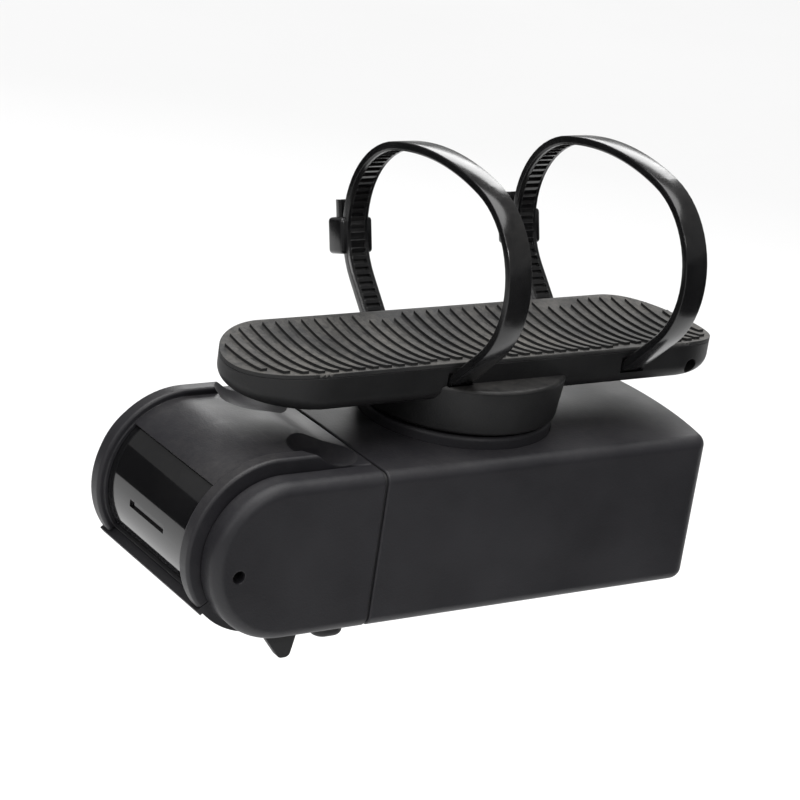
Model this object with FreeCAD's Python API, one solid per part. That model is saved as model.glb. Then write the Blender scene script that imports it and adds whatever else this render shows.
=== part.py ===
import FreeCAD, Part
import math
import os

# Cycling computer that hangs under a bicycle's top tube on a quarter-turn mount. Millimetres.
# +X points to the front of the bicycle, +Y to its left and +Z up. The origin is on the axis of
# the tube, straight above the axis of the quarter-turn mount.

# ---- Tube that the mount fits: an oval of four arcs ----
TUBE_HALF_WIDTH = 18.3
TUBE_HALF_HEIGHT = 12.45
TUBE_SIDE_RADIUS = 11.5
PAD_THICKNESS = 1.0
SEAT_GAP = 0.05

# ---- Cable ties ----
TIE_WIDTH = 3.6
TIE_THICKNESS = 1.2
TIE_FRONT_X = 7.3
TIE_SPACING = 28.7
TIE_FLOOR_HALF_WIDTH = 7.6
TIE_CORNER_RADIUS = 2.0
TIE_SLOT_GAP = 0.2
TIE_BRIDGE = 1.05
TIE_HEAD_LENGTH = 5.0
TIE_HEAD_WIDTH = 5.2
TIE_HEAD_HEIGHT = 3.6
TIE_HEAD_ANGLE = 197.0
TIE_TAIL_LENGTH = 2.4
TIE_TAIL_GAP = 0.2
TIE_HEAD_EDGE = 0.6

# ---- Saddle and its hub ----
SADDLE_FRONT = 36.5
SADDLE_REAR = -40.0
SADDLE_HALF_WIDTH = 10.0
SADDLE_EDGE = 2.2
SADDLE_FLOOR = 0.9
LANYARD_HOLE_RADIUS = 1.1
LANYARD_HOLE_INSET = 8.0
HUB_TOP_RADIUS = 14.3
HUB_BOTTOM_RADIUS = 13.6
HUB_SHOULDER = 2.4
HUB_THICKNESS = 4.0
HUB_EDGE = 0.5
HUB_SCREW_Y = 4.6
HUB_SCREW_RADIUS = 1.25
HUB_SCREW_HEAD_RADIUS = 2.4
HUB_SCREW_HEAD_HEIGHT = 1.4
HUB_SCREW_SINK = 1.5
INSERT_RADIUS = 1.9
INSERT_HEIGHT = 1.6

# ---- Quarter-turn lock ----
LOCK_GAP = 0.4
BOSS_RADIUS = 8.9
BOSS_FIT = 0.1
LUG_REACH = 2.0
LUG_REACH_GAP = 0.4
LUG_THICKNESS = 1.3
LUG_TOP_GAP = 0.15
LUG_FLOOR_GAP = 0.25
LUG_HALF_ANGLE = 25.0
NOTCH_HALF_ANGLE = 28.0
LOCK_RADIUS = 13.2
LOCK_LIP = 2.0
LOCK_FLOOR = 1.2
LOCK_EDGE = 0.6
LOCK_SINK_GAP = 0.1
LOCK_SCREW_CIRCLE = 12.25
LOCK_SCREW_RADIUS = 0.6
LOCK_SCREW_HEAD_RADIUS = 1.5
LOCK_SCREW_HEAD_HEIGHT = 1.0
LOCK_SCREW_BITE = 2.0
LOCK_SEAL_RADIUS = 9.5
LOCK_SEAL_SECTION = 1.0

# ---- Case: rear box and nose, one outline across ----
BODY_HALF_WIDTH = 16.85
BODY_TOP = -23.0
BODY_HEIGHT = 21.6
BODY_EDGE = 1.6
REAR_X = -31.5
REAR_BOW = 2.6
REAR_CORNER = 2.6
SEAM_X = 21.1
SEAM_GASKET = 0.4
GASKET_INSET = 0.35
SEAM_EDGE = 0.25
WALL = 1.6
LOCK_FLOOR_WALL = 1.6
LOCK_FLOOR_REACH = 1.8
TONGUE_LENGTH = 1.6
TONGUE_GAP = 0.1
TONGUE_WALL = 1.0
BULKHEAD = 1.8
PASSAGE_HALF_WIDTH = 6.0
PASSAGE_BOTTOM = -34.0
PASSAGE_TOP = -27.0

# ---- Nose: cheeks, and a cover that stands proud of them ----
CHEEK_CENTRE_X = 35.0
CHEEK_RADIUS = 10.3
COVER_CENTRE_X = 35.2
COVER_BASE_RADIUS = 10.0
RIM_RISE = 2.0
HUMP_RISE = 1.1
WINDOW_RISE = 0.7
RAMP_START_X = 22.5
RAMP_END_X = 28.5
COVER_HALF_WIDTH = 13.2
RIM_WIDTH = 2.3
RIM_EDGE = 0.5
COVER_GAP = 0.2
COVER_END_ANGLE = -37.0
CHIN_START_ANGLE = -38.0
CHIN_END_ANGLE = -92.0
COVER_BACK_ANGLE = 181.0
LIP_RISE = 0.4
LIP_ANGLE = 4.0
SCOOP_X = 25.9
SCOOP_Y = 8.8
SCOOP_RADIUS = 6.8
SCOOP_DEPTH = 1.9

# ---- Front window ----
WINDOW_THICKNESS = 1.0
WINDOW_SIDE_GAP = 0.25
WINDOW_TOP_ANGLE = 46.0
WINDOW_BOTTOM_ANGLE = -35.0
WINDOW_END_GAP = 0.3
WINDOW_LEDGE = 1.3
WINDOW_GASKET = 0.35
GLUE_GAP = 0.04
SLIT_HALF_LENGTH = 4.5
SLIT_HALF_ANGLE = 2.6
SLIT_CENTRE_ANGLE = -1.0
SLIT_DEPTH = 0.35

# ---- Cover pins, one through each cheek ----
PIN_X = 41.7
PIN_Z = -34.7
PIN_RADIUS = 0.8
PIN_HOLE_GAP = 0.08
PIN_RECESS = 1.2
PIN_BOSS_RADIUS = 2.3
EAR_THICKNESS = 1.3

# ---- Case screws, from the nose into the rear box ----
CASE_SCREW_RADIUS = 0.95
CASE_SCREW_LENGTH = 9.0
CASE_SCREW_HEAD_RADIUS = 1.8
CASE_SCREW_HEAD_HEIGHT = 1.6
CASE_BOSS_RADIUS = 2.2
CASE_BOSS_LENGTH = 8.5
UPPER_SCREW_Y = 12.2
UPPER_SCREW_DROP = 3.9
LOWER_SCREW_Y = 8.0
LOWER_SCREW_RISE = 3.6
SCREW_END_GAP = 0.5

# ---- Power button ----
BUTTON_X = 25.1
BUTTON_Y = 12.9
BUTTON_LENGTH = 4.6
BUTTON_WIDTH = 3.4
BUTTON_PROUD = 1.9
BUTTON_EDGE = 0.85
BUTTON_TRAVEL = 0.6
BUTTON_HOLE_GAP = 0.2
BUTTON_FLANGE = 0.5
BUTTON_FLANGE_THICKNESS = 0.7
BUTTON_STEM_RADIUS = 0.9
BUTTON_SEAL_WIDTH = 0.8
BUTTON_SEAL_HEIGHT = 0.8
BUTTON_SEAL_DROP = 0.2
SWITCH_GAP = 0.05
SWITCH_PLUNGER_RADIUS = 0.8
SWITCH_PLUNGER_HEIGHT = 0.45
SWITCH_SIDE = 3.4
SWITCH_HEIGHT = 1.8

# ---- Charge port and its flap ----
FLAP_REAR_X = 29.4
FLAP_LENGTH_X = 5.8
FLAP_FREE_Y = 13.3
FLAP_HINGE_Y = -2.2
FLAP_THICKNESS = 0.9
FLAP_GAP = 0.2
FLAP_BARREL_RADIUS = 0.9
FLAP_BARREL_GAP = 0.15
FLAP_PIN_RADIUS = 0.4
FLAP_PIN_FIT = 0.05
FLAP_PIN_BITE = 0.8
TAB_DEPTH = 4.4
TAB_THICKNESS = 1.2
TAB_TIP_RADIUS = 0.8
TAB_TIP_REAR = 0.9
TAB_TIP_FRONT = 2.4
PORT_PAD = 0.8
PORT_PAD_MARGIN = 1.4
PORT_Y = 5.0
PORT_LENGTH = 8.9
PORT_WIDTH = 3.2
PORT_GAP = 0.25
PLUG_SHRINK = 0.35
PLUG_HEIGHT = 1.2
SOCKET_WALL = 0.3
SOCKET_TONGUE_THICKNESS = 0.7
SOCKET_TONGUE_INSET = 1.0

# ---- Electronics ----
BOARD_THICKNESS = 1.0
MAIN_BOARD_REAR = -28.5
MAIN_BOARD_FRONT = 18.4
MAIN_BOARD_HALF_WIDTH = 14.3
MAIN_BOARD_DROP = 9.0
RAIL_HEIGHT = 1.2
RAIL_WIDTH = 1.35
RAIL_FRONT = 10.0
BATTERY_REAR = -28.0
BATTERY_FRONT = 10.6
BATTERY_HALF_WIDTH = 13.0
BATTERY_HEIGHT = 8.6
BATTERY_EDGE = 1.2
FOAM_THICKNESS = 0.8
FOAM_INSET = 2.0
SHIELD_REAR = -8.0
SHIELD_FRONT = 6.0
SHIELD_HALF_WIDTH = 7.0
SHIELD_HEIGHT = 1.8
SHIELD_WALL = 0.2
ANTENNA_REAR = -28.0
ANTENNA_SIDE = 11.0
ANTENNA_HEIGHT = 3.8
CHIP_HEIGHT = 0.9
CHIPS = [(-13.0, 9.5, 2.0), (-12.5, -9.5, 2.5), (9.0, -5.5, 1.8), (-22.5, 10.0, 1.5)]
BUZZER_X = 10.2
BUZZER_Y = 6.4
BUZZER_RADIUS = 3.2
BUZZER_HEIGHT = 1.7
BUZZER_HOLE_RADIUS = 0.6
CONNECTOR_REAR = 13.4
CONNECTOR_FRONT = 17.2
CONNECTOR_Y = -6.1
CONNECTOR_HALF_WIDTH = 2.6
CONNECTOR_HEIGHT = 1.9
LEAD_RADIUS = 0.45
LEAD_SPACING = 1.6
LEAD_FRONT_X = 19.15
LEAD_BEND = 0.7
LEAD_RISE_FROM_BATTERY = 3.0
FLEX_HALF_WIDTH = 3.0
FLEX_THICKNESS = 0.2
FLEX_OVERLAP = 4.0
IO_BOARD_Z = -37.8
IO_BOARD_REAR = 23.7
IO_BOARD_FRONT = 35.9
IO_BOARD_RIGHT = -4.0
IO_BOARD_LEFT = 14.6
IO_POST_RADIUS = 1.1
IO_POST_Y = -2.6
IO_POST_INSET_REAR = 2.0
IO_POST_INSET_FRONT = 1.6
IO_SCREW_RADIUS = 0.6
IO_SCREW_HEAD_RADIUS = 1.2
IO_SCREW_HEAD_HEIGHT = 0.7
SENSOR_BRACKET_X = 36.8
SENSOR_BRACKET_THICKNESS = 1.0
SENSOR_BRACKET_HALF_WIDTH = 9.0
SENSOR_BRACKET_TOP = -26.8
SENSOR_BOARD_THICKNESS = 0.8
SENSOR_BOARD_HALF_WIDTH = 7.5
SENSOR_BOARD_BOTTOM = -37.5
SENSOR_BOARD_TOP = -28.2
SENSOR_Z = -33.0
SENSOR_HOUSING_LENGTH = 3.4
SENSOR_HOUSING_HALF_SIDE = 3.6
SENSOR_BORE_RADIUS = 2.7
SENSOR_LENS_GAP = 0.05
SENSOR_LENS_THICKNESS = 1.2
SENSOR_LENS_CURVE = 6.5
LED_Y = 5.8
LED_SIDE = 1.4
LED_HEIGHT = 0.9

# ---- Worked out from the sizes above ----
SIDE_CENTRE_Y = TUBE_HALF_WIDTH - TUBE_SIDE_RADIUS
CROWN_STEP = TUBE_HALF_HEIGHT - TUBE_SIDE_RADIUS
CROWN_DROP = (SIDE_CENTRE_Y ** 2 - CROWN_STEP ** 2) / (2 * CROWN_STEP)
CROWN_RADIUS = TUBE_HALF_HEIGHT + CROWN_DROP
SADDLE_SEAT = -(TUBE_HALF_HEIGHT + PAD_THICKNESS)
TIE_FLOOR = SADDLE_SEAT - TIE_BRIDGE - TIE_SLOT_GAP
SADDLE_BOTTOM = TIE_FLOOR - TIE_THICKNESS - TIE_SLOT_GAP - SADDLE_FLOOR
HUB_BOTTOM = SADDLE_BOTTOM - HUB_THICKNESS
HUB_SCREW_YS = (-HUB_SCREW_Y, HUB_SCREW_Y)
HUB_TOP = SADDLE_BOTTOM + HUB_SHOULDER
LOCK_TOP = HUB_BOTTOM - LOCK_GAP
LIP_BOTTOM = LOCK_TOP - LOCK_LIP
LUG_TOP = LIP_BOTTOM - LUG_TOP_GAP
LUG_BOTTOM = LUG_TOP - LUG_THICKNESS
LUG_RADIUS = BOSS_RADIUS + LUG_REACH
CAVITY_RADIUS = LUG_RADIUS + LUG_REACH_GAP
CAVITY_FLOOR = LUG_BOTTOM - LUG_FLOOR_GAP
LOCK_BOTTOM = CAVITY_FLOOR - LOCK_FLOOR
RECESS_FLOOR = LOCK_BOTTOM - LOCK_SINK_GAP
LOCK_SHELF = RECESS_FLOOR - LOCK_FLOOR_WALL
BODY_BOTTOM = BODY_TOP - BODY_HEIGHT
INNER_TOP = BODY_TOP - WALL
INNER_BOTTOM = BODY_BOTTOM + WALL
INNER_HALF_WIDTH = BODY_HALF_WIDTH - WALL
NOSE_ROOM_HALF_WIDTH = INNER_HALF_WIDTH - SEAT_GAP
NOSE_X = SEAM_X + SEAM_GASKET
BULKHEAD_FRONT = NOSE_X + BULKHEAD
CHEEK_CENTRE_Z = BODY_TOP - CHEEK_RADIUS
COVER_CENTRE_Z = BODY_TOP - COVER_BASE_RADIUS
LOWER_CHEEK_RADIUS = CHEEK_CENTRE_Z - BODY_BOTTOM
LOWER_CHEEK_CENTRE_X = CHEEK_CENTRE_X + CHEEK_RADIUS - LOWER_CHEEK_RADIUS
LOWER_COVER_RADIUS = COVER_CENTRE_Z - BODY_BOTTOM - RIM_RISE
LOWER_COVER_CENTRE_X = COVER_CENTRE_X + COVER_BASE_RADIUS - LOWER_COVER_RADIUS
HUMP_HALF_WIDTH = COVER_HALF_WIDTH - RIM_WIDTH
WINDOW_HALF_WIDTH = HUMP_HALF_WIDTH - WINDOW_SIDE_GAP
MAIN_BOARD_BOTTOM = BODY_TOP - MAIN_BOARD_DROP
MAIN_BOARD_TOP = MAIN_BOARD_BOTTOM + BOARD_THICKNESS
BATTERY_BOTTOM = INNER_BOTTOM + FOAM_THICKNESS
UPPER_SCREW_Z = BODY_TOP - UPPER_SCREW_DROP
LOWER_SCREW_Z = BODY_BOTTOM + LOWER_SCREW_RISE
CASE_SCREWS = [(UPPER_SCREW_Y, UPPER_SCREW_Z), (-UPPER_SCREW_Y, UPPER_SCREW_Z),
               (LOWER_SCREW_Y, LOWER_SCREW_Z), (-LOWER_SCREW_Y, LOWER_SCREW_Z)]
FLAP_FRONT_X = FLAP_REAR_X + FLAP_LENGTH_X
FLAP_MIDDLE_X = (FLAP_REAR_X + FLAP_FRONT_X) / 2
FLAP_TOP = BODY_BOTTOM + FLAP_THICKNESS
FLAP_HINGE_Z = BODY_BOTTOM + FLAP_BARREL_RADIUS - FLAP_GAP
PORT_PAD_TOP = INNER_BOTTOM + PORT_PAD
IO_BOARD_TOP = IO_BOARD_Z + BOARD_THICKNESS
SWITCH_PLUNGER_BOTTOM = IO_BOARD_Z - SWITCH_HEIGHT - SWITCH_PLUNGER_HEIGHT
BUTTON_STEM_TOP = SWITCH_PLUNGER_BOTTOM - BUTTON_TRAVEL - SWITCH_GAP
FAR = 80.0
OVERSHOOT = 1.0
NEAR = 1e-3
SHORTEST_EDGE = 1e-5


# ---- Shapes that many pieces use ----
def point(x, y, z):
    return FreeCAD.Vector(x, y, z)


def block(x0, x1, y0, y1, z0, z1):
    return Part.makeBox(x1 - x0, y1 - y0, z1 - z0, point(x0, y0, z0))


def post(radius, x, y, z0, z1):
    return Part.makeCylinder(radius, z1 - z0, point(x, y, z0))


def rod_x(radius, x0, x1, y, z):
    return Part.makeCylinder(radius, x1 - x0, point(x0, y, z), point(1, 0, 0))


def rod_y(radius, x, y0, y1, z):
    return Part.makeCylinder(radius, y1 - y0, point(x, y0, z), point(0, 1, 0))


def tube_z(outer, inner, x, y, z0, z1):
    return post(outer, x, y, z0, z1).cut(post(inner, x, y, z0, z1))


def mirrored(shape):
    return shape.mirror(point(0, 0, 0), point(0, 1, 0))


def joined(shapes):
    whole = shapes[0].multiFuse(shapes[1:]) if len(shapes) > 1 else shapes[0]
    return whole.removeSplitter()


def group(shapes):
    return Part.makeCompound(shapes)


def arc_through(start, middle, end):
    return Part.Arc(start, middle, end).toShape()


def line(start, end):
    return Part.LineSegment(start, end).toShape()


def edges_along(shape, wanted):
    return [edge for edge in shape.Edges if wanted(edge)]


def on_circle(circle, x, angle):
    y, z, radius = circle
    return point(x, y + radius * math.cos(angle), z + radius * math.sin(angle))


def loop_wire(circles, x):
    """Tight loop round circles (y, z, radius), listed anticlockwise as seen from the front."""
    count = len(circles)
    normals = []
    for i in range(count):
        y0, z0, r0 = circles[i]
        y1, z1, r1 = circles[(i + 1) % count]
        reach = math.hypot(y1 - y0, z1 - z0)
        lean = math.acos(round((r0 - r1) / reach, 9))
        normals.append(math.atan2(z1 - z0, y1 - y0) - lean)
    edges = []
    for i in range(count):
        start = normals[i - 1]
        sweep = (normals[i] - start) % (2 * math.pi)
        on_arc = [on_circle(circles[i], x, start + sweep * share) for share in (0, 0.5, 1)]
        edges.append(arc_through(*on_arc))
        onward = on_circle(circles[(i + 1) % count], x, normals[i])
        if on_arc[2].distanceToPoint(onward) > SHORTEST_EDGE:
            edges.append(line(on_arc[2], onward))
    return Part.Wire(Part.__sortEdges__(edges))


def bar_from_loop(circles, x0, x1):
    return Part.Face(loop_wire(circles, x0)).extrude(point(x1 - x0, 0, 0))


def tube_circles(offset):
    return [(SIDE_CENTRE_Y, 0, TUBE_SIDE_RADIUS + offset),
            (0, -CROWN_DROP, CROWN_RADIUS + offset),
            (-SIDE_CENTRE_Y, 0, TUBE_SIDE_RADIUS + offset),
            (0, CROWN_DROP, CROWN_RADIUS + offset)]


def tube_bar(offset, x0, x1):
    return bar_from_loop(tube_circles(offset), x0, x1)


# ---- Cable ties: over the tube and under the saddle's bridge ----
def tie_circles(offset):
    corner_z = TIE_FLOOR + TIE_CORNER_RADIUS
    return [(SIDE_CENTRE_Y, 0, TUBE_SIDE_RADIUS + SEAT_GAP + offset),
            (0, -CROWN_DROP, CROWN_RADIUS + SEAT_GAP + offset),
            (-SIDE_CENTRE_Y, 0, TUBE_SIDE_RADIUS + SEAT_GAP + offset),
            (-TIE_FLOOR_HALF_WIDTH, corner_z, TIE_CORNER_RADIUS + offset),
            (TIE_FLOOR_HALF_WIDTH, corner_z, TIE_CORNER_RADIUS + offset)]


def tie_band(centre_x, inner, outer, width):
    x0 = centre_x - width / 2
    x1 = centre_x + width / 2
    return bar_from_loop(tie_circles(outer), x0, x1).cut(bar_from_loop(tie_circles(inner), x0, x1))


def tie_channel(centre_x):
    return tie_band(centre_x, -TIE_SLOT_GAP, TIE_THICKNESS + TIE_SLOT_GAP, TIE_WIDTH + 2 * TIE_SLOT_GAP)


def cable_tie(centre_x):
    band = tie_band(centre_x, 0, TIE_THICKNESS, TIE_WIDTH)
    face = TUBE_SIDE_RADIUS + SEAT_GAP
    head = block(centre_x - TIE_HEAD_WIDTH / 2, centre_x + TIE_HEAD_WIDTH / 2,
                 face, face + TIE_HEAD_HEIGHT, -TIE_HEAD_LENGTH / 2, TIE_HEAD_LENGTH / 2)
    outer_edges = edges_along(head, lambda e: e.CenterOfMass.y > face + TIE_HEAD_HEIGHT / 4)
    head = head.makeFillet(TIE_HEAD_EDGE, outer_edges)
    tail_face = face + TIE_THICKNESS + TIE_TAIL_GAP
    tail = block(centre_x - TIE_WIDTH / 2, centre_x + TIE_WIDTH / 2, tail_face, tail_face + TIE_THICKNESS,
                 -TIE_HEAD_LENGTH / 2 - TIE_TAIL_LENGTH, 0)
    end = head.fuse(tail)
    end.rotate(point(0, 0, 0), point(1, 0, 0), TIE_HEAD_ANGLE)
    end.translate(point(0, -SIDE_CENTRE_Y, 0))
    return joined([band, end])


# ---- Saddle, pad and hub: the half that stays on the bicycle ----
def saddle_outline(z0, z1):
    ends = SADDLE_HALF_WIDTH
    middle = block(SADDLE_REAR + ends, SADDLE_FRONT - ends, -ends, ends, z0, z1)
    front = post(ends, SADDLE_FRONT - ends, 0, z0, z1)
    rear = post(ends, SADDLE_REAR + ends, 0, z0, z1)
    return joined([middle, front, rear])


def saddle_blank():
    blank = saddle_outline(SADDLE_BOTTOM, -TUBE_HALF_HEIGHT / 2)
    low = edges_along(blank, lambda e: abs(e.CenterOfMass.z - SADDLE_BOTTOM) < NEAR)
    return blank.makeFillet(SADDLE_EDGE, low)


def saddle_ties():
    return [tie_channel(TIE_FRONT_X), tie_channel(TIE_FRONT_X - TIE_SPACING)]


def mount_saddle():
    saddle = saddle_blank().cut(tube_bar(PAD_THICKNESS, SADDLE_REAR - OVERSHOOT, SADDLE_FRONT + OVERSHOOT))
    saddle = saddle.cut(group(saddle_ties()))
    hole_x = SADDLE_REAR + LANYARD_HOLE_INSET
    hole_z = (SADDLE_BOTTOM + SADDLE_SEAT) / 2
    saddle = saddle.cut(rod_y(LANYARD_HOLE_RADIUS, hole_x, -FAR, FAR, hole_z))
    for y in HUB_SCREW_YS:
        saddle = saddle.cut(post(INSERT_RADIUS, 0, y, SADDLE_BOTTOM - OVERSHOOT, SADDLE_BOTTOM + INSERT_HEIGHT))
    return saddle


def saddle_pad():
    ring = tube_bar(PAD_THICKNESS - SEAT_GAP, SADDLE_REAR, SADDLE_FRONT)
    ring = ring.cut(tube_bar(SEAT_GAP, SADDLE_REAR - OVERSHOOT, SADDLE_FRONT + OVERSHOOT))
    pad = ring.common(saddle_outline(-FAR, 0))
    return pad.cut(group(saddle_ties()))


def saddle_inserts():
    top = SADDLE_BOTTOM + INSERT_HEIGHT
    return group([tube_z(INSERT_RADIUS, HUB_SCREW_RADIUS, 0, y, SADDLE_BOTTOM, top) for y in HUB_SCREW_YS])


def sector(radius, z0, z1, middle_angle, half_angle):
    """Slice of a disc on the axis of the quarter turn, between two angles in degrees."""
    disc = Part.makeCylinder(radius, z1 - z0, point(0, 0, z0), point(0, 0, 1), 2 * half_angle)
    disc.rotate(point(0, 0, 0), point(0, 0, 1), middle_angle - half_angle)
    return disc


def mount_hub():
    disc = Part.makeCone(HUB_BOTTOM_RADIUS, HUB_TOP_RADIUS, HUB_TOP - HUB_BOTTOM, point(0, 0, HUB_BOTTOM))
    disc = disc.makeFillet(HUB_EDGE, edges_along(disc, lambda e: len(e.Vertexes) == 1))
    disc = disc.cut(saddle_blank()).cut(tube_bar(PAD_THICKNESS, -FAR, FAR)).cut(group(saddle_ties()))
    boss = post(BOSS_RADIUS, 0, 0, LUG_BOTTOM, HUB_BOTTOM)
    lugs = [sector(LUG_RADIUS, LUG_BOTTOM, LUG_TOP, angle, LUG_HALF_ANGLE) for angle in (90, 270)]
    hub = joined([disc, boss] + lugs)
    below = LUG_BOTTOM - OVERSHOOT
    for y in HUB_SCREW_YS:
        hub = hub.cut(post(HUB_SCREW_RADIUS + SEAT_GAP, 0, y, below, SADDLE_BOTTOM))
        hub = hub.cut(post(HUB_SCREW_HEAD_RADIUS + SEAT_GAP, 0, y, below, LUG_BOTTOM + HUB_SCREW_SINK))
    return hub


def hub_screws():
    head_top = LUG_BOTTOM + HUB_SCREW_SINK
    screws = []
    for y in HUB_SCREW_YS:
        head = post(HUB_SCREW_HEAD_RADIUS, 0, y, head_top - HUB_SCREW_HEAD_HEIGHT, head_top)
        shank = post(HUB_SCREW_RADIUS - SEAT_GAP, 0, y, head_top, SADDLE_BOTTOM + INSERT_HEIGHT)
        screws.append(joined([head, shank]))
    return group(screws)


# ---- Lock ring: the half of the quarter turn that the computer carries ----
def lock_screw_places():
    reach = LOCK_SCREW_CIRCLE * math.sqrt(0.5)
    return [(reach, reach), (-reach, reach), (-reach, -reach), (reach, -reach)]


def lock_ring():
    ring = post(LOCK_RADIUS, 0, 0, LOCK_BOTTOM, LOCK_TOP)
    ring = ring.makeFillet(LOCK_EDGE, edges_along(ring, lambda e: abs(e.CenterOfMass.z - LOCK_TOP) < NEAR))
    ring = ring.cut(post(BOSS_RADIUS + BOSS_FIT, 0, 0, CAVITY_FLOOR, LOCK_TOP + OVERSHOOT))
    ring = ring.cut(post(CAVITY_RADIUS, 0, 0, CAVITY_FLOOR, LIP_BOTTOM))
    for angle in (0, 180):
        notch = sector(CAVITY_RADIUS, LIP_BOTTOM - OVERSHOOT, LOCK_TOP + OVERSHOOT, angle, NOTCH_HALF_ANGLE)
        ring = ring.cut(notch)
    for x, y in lock_screw_places():
        ring = ring.cut(post(LOCK_SCREW_RADIUS, x, y, LOCK_BOTTOM - OVERSHOOT, LOCK_BOTTOM + LOCK_SCREW_BITE))
    return ring


def lock_ring_screws():
    screws = []
    for x, y in lock_screw_places():
        head = post(LOCK_SCREW_HEAD_RADIUS, x, y, LOCK_SHELF - LOCK_SCREW_HEAD_HEIGHT, LOCK_SHELF)
        shank = post(LOCK_SCREW_RADIUS - SEAT_GAP / 2, x, y, LOCK_SHELF, LOCK_BOTTOM + LOCK_SCREW_BITE)
        screws.append(joined([head, shank]))
    return group(screws)


def lock_seal_groove(gap):
    half = LOCK_SEAL_SECTION / 2 + gap
    return tube_z(LOCK_SEAL_RADIUS + half, LOCK_SEAL_RADIUS - half, 0, 0,
                  RECESS_FLOOR - LOCK_SEAL_SECTION + LOCK_SINK_GAP, RECESS_FLOOR + gap)


def lock_seal():
    ring = Part.makeTorus(LOCK_SEAL_RADIUS, LOCK_SEAL_SECTION / 2)
    ring.translate(point(0, 0, LOCK_BOTTOM - LOCK_SEAL_SECTION / 2))
    return ring


# ---- Rear box ----
def rear_plan(inset, z0, z1):
    """Plan of the rear box: straight sides, a bowed back and round corners."""
    side = BODY_HALF_WIDTH - inset
    back = REAR_X + inset
    start = point(SEAM_X, -side, z0)
    end = point(SEAM_X, side, z0)
    left = point(back, side, z0)
    right = point(back, -side, z0)
    edges = [line(start, end),
             line(end, left),
             arc_through(left, point(back - REAR_BOW, 0, z0), right),
             line(right, start)]
    plan = Part.Face(Part.Wire(edges)).extrude(point(0, 0, z1 - z0))
    corners = edges_along(plan, lambda e: e.BoundBox.XMax < back + NEAR and abs(e.CenterOfMass.y) > side - NEAR)
    return plan.makeFillet(REAR_CORNER - inset, corners)


def long_edges(shape):
    return edges_along(shape, lambda e: e.BoundBox.YLength < NEAR and e.BoundBox.ZLength < NEAR)


def seam_edges(shape, x):
    return edges_along(shape, lambda e: abs(e.BoundBox.XMin - x) < NEAR and abs(e.BoundBox.XMax - x) < NEAR)


def case_boss(y, z):
    boss = rod_x(CASE_BOSS_RADIUS, SEAM_X - TONGUE_LENGTH + TONGUE_GAP - CASE_BOSS_LENGTH,
                 SEAM_X - TONGUE_LENGTH - TONGUE_GAP, y, z)
    wall_z = INNER_TOP if z > (BODY_TOP + BODY_BOTTOM) / 2 else INNER_BOTTOM
    web = block(boss.BoundBox.XMin, boss.BoundBox.XMax, y - CASE_BOSS_RADIUS, y + CASE_BOSS_RADIUS,
                min(z, wall_z), max(z, wall_z))
    return boss.fuse(web)


def rear_case():
    outer = rear_plan(0, BODY_BOTTOM, BODY_TOP)
    flat_edges = edges_along(outer, lambda e: e.BoundBox.ZLength < NEAR and e.BoundBox.XMin < SEAM_X - NEAR)
    outer = outer.makeFillet(BODY_EDGE, flat_edges)
    outer = outer.makeFillet(SEAM_EDGE, seam_edges(outer, SEAM_X))
    inner = rear_plan(WALL, INNER_BOTTOM, INNER_TOP)
    case = outer.cut(inner)
    inside = inner.common(block(-FAR, SEAM_X - TONGUE_LENGTH, -FAR, FAR, -FAR, 0))
    shelf = post(LOCK_RADIUS + LOCK_FLOOR_REACH, 0, 0, LOCK_SHELF, INNER_TOP)
    rail = block(REAR_X, RAIL_FRONT, INNER_HALF_WIDTH - RAIL_WIDTH, INNER_HALF_WIDTH,
                 MAIN_BOARD_BOTTOM - RAIL_HEIGHT, MAIN_BOARD_BOTTOM)
    bosses = [case_boss(y, z) for y, z in CASE_SCREWS]
    fittings = group([shelf, rail, mirrored(rail)] + bosses).common(inside)
    case = case.fuse(fittings.Solids)
    case = case.cut(post(LOCK_RADIUS + LOCK_SINK_GAP, 0, 0, RECESS_FLOOR, 0))
    case = case.cut(lock_seal_groove(SEAT_GAP))
    for x, y in lock_screw_places():
        hole = post(LOCK_SCREW_RADIUS + SEAT_GAP, x, y, LOCK_SHELF - OVERSHOOT, RECESS_FLOOR + OVERSHOOT)
        case = case.cut(hole)
    for y, z in CASE_SCREWS:
        case = case.cut(rod_x(CASE_SCREW_RADIUS, SEAM_X - CASE_SCREW_LENGTH, SEAM_X, y, z))
    return case.removeSplitter()


def seam_gasket():
    side = BODY_HALF_WIDTH - GASKET_INSET
    keep = block(SEAM_X, NOSE_X, -side, side, BODY_BOTTOM + GASKET_INSET, BODY_TOP - GASKET_INSET)
    keep = keep.makeFillet(BODY_EDGE - GASKET_INSET, long_edges(keep))
    hole_side = INNER_HALF_WIDTH - TONGUE_GAP / 2
    hole = block(SEAM_X - OVERSHOOT, NOSE_X + OVERSHOOT, -hole_side, hole_side,
                 INNER_BOTTOM + TONGUE_GAP / 2, INNER_TOP - TONGUE_GAP / 2)
    return keep.cut(hole)


# ---- Nose outlines, seen from the side ----
def side_face(edges):
    return Part.Face(Part.Wire(Part.__sortEdges__(edges)))


def quarter(centre_x, centre_z, radius, start_angle):
    """Quarter circle that runs clockwise from start_angle, in degrees, seen with +X to the right."""
    spots = []
    for turn in (0, 45, 90):
        angle = math.radians(start_angle - turn)
        spots.append(point(centre_x + radius * math.cos(angle), 0, centre_z + radius * math.sin(angle)))
    return arc_through(*spots)


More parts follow.
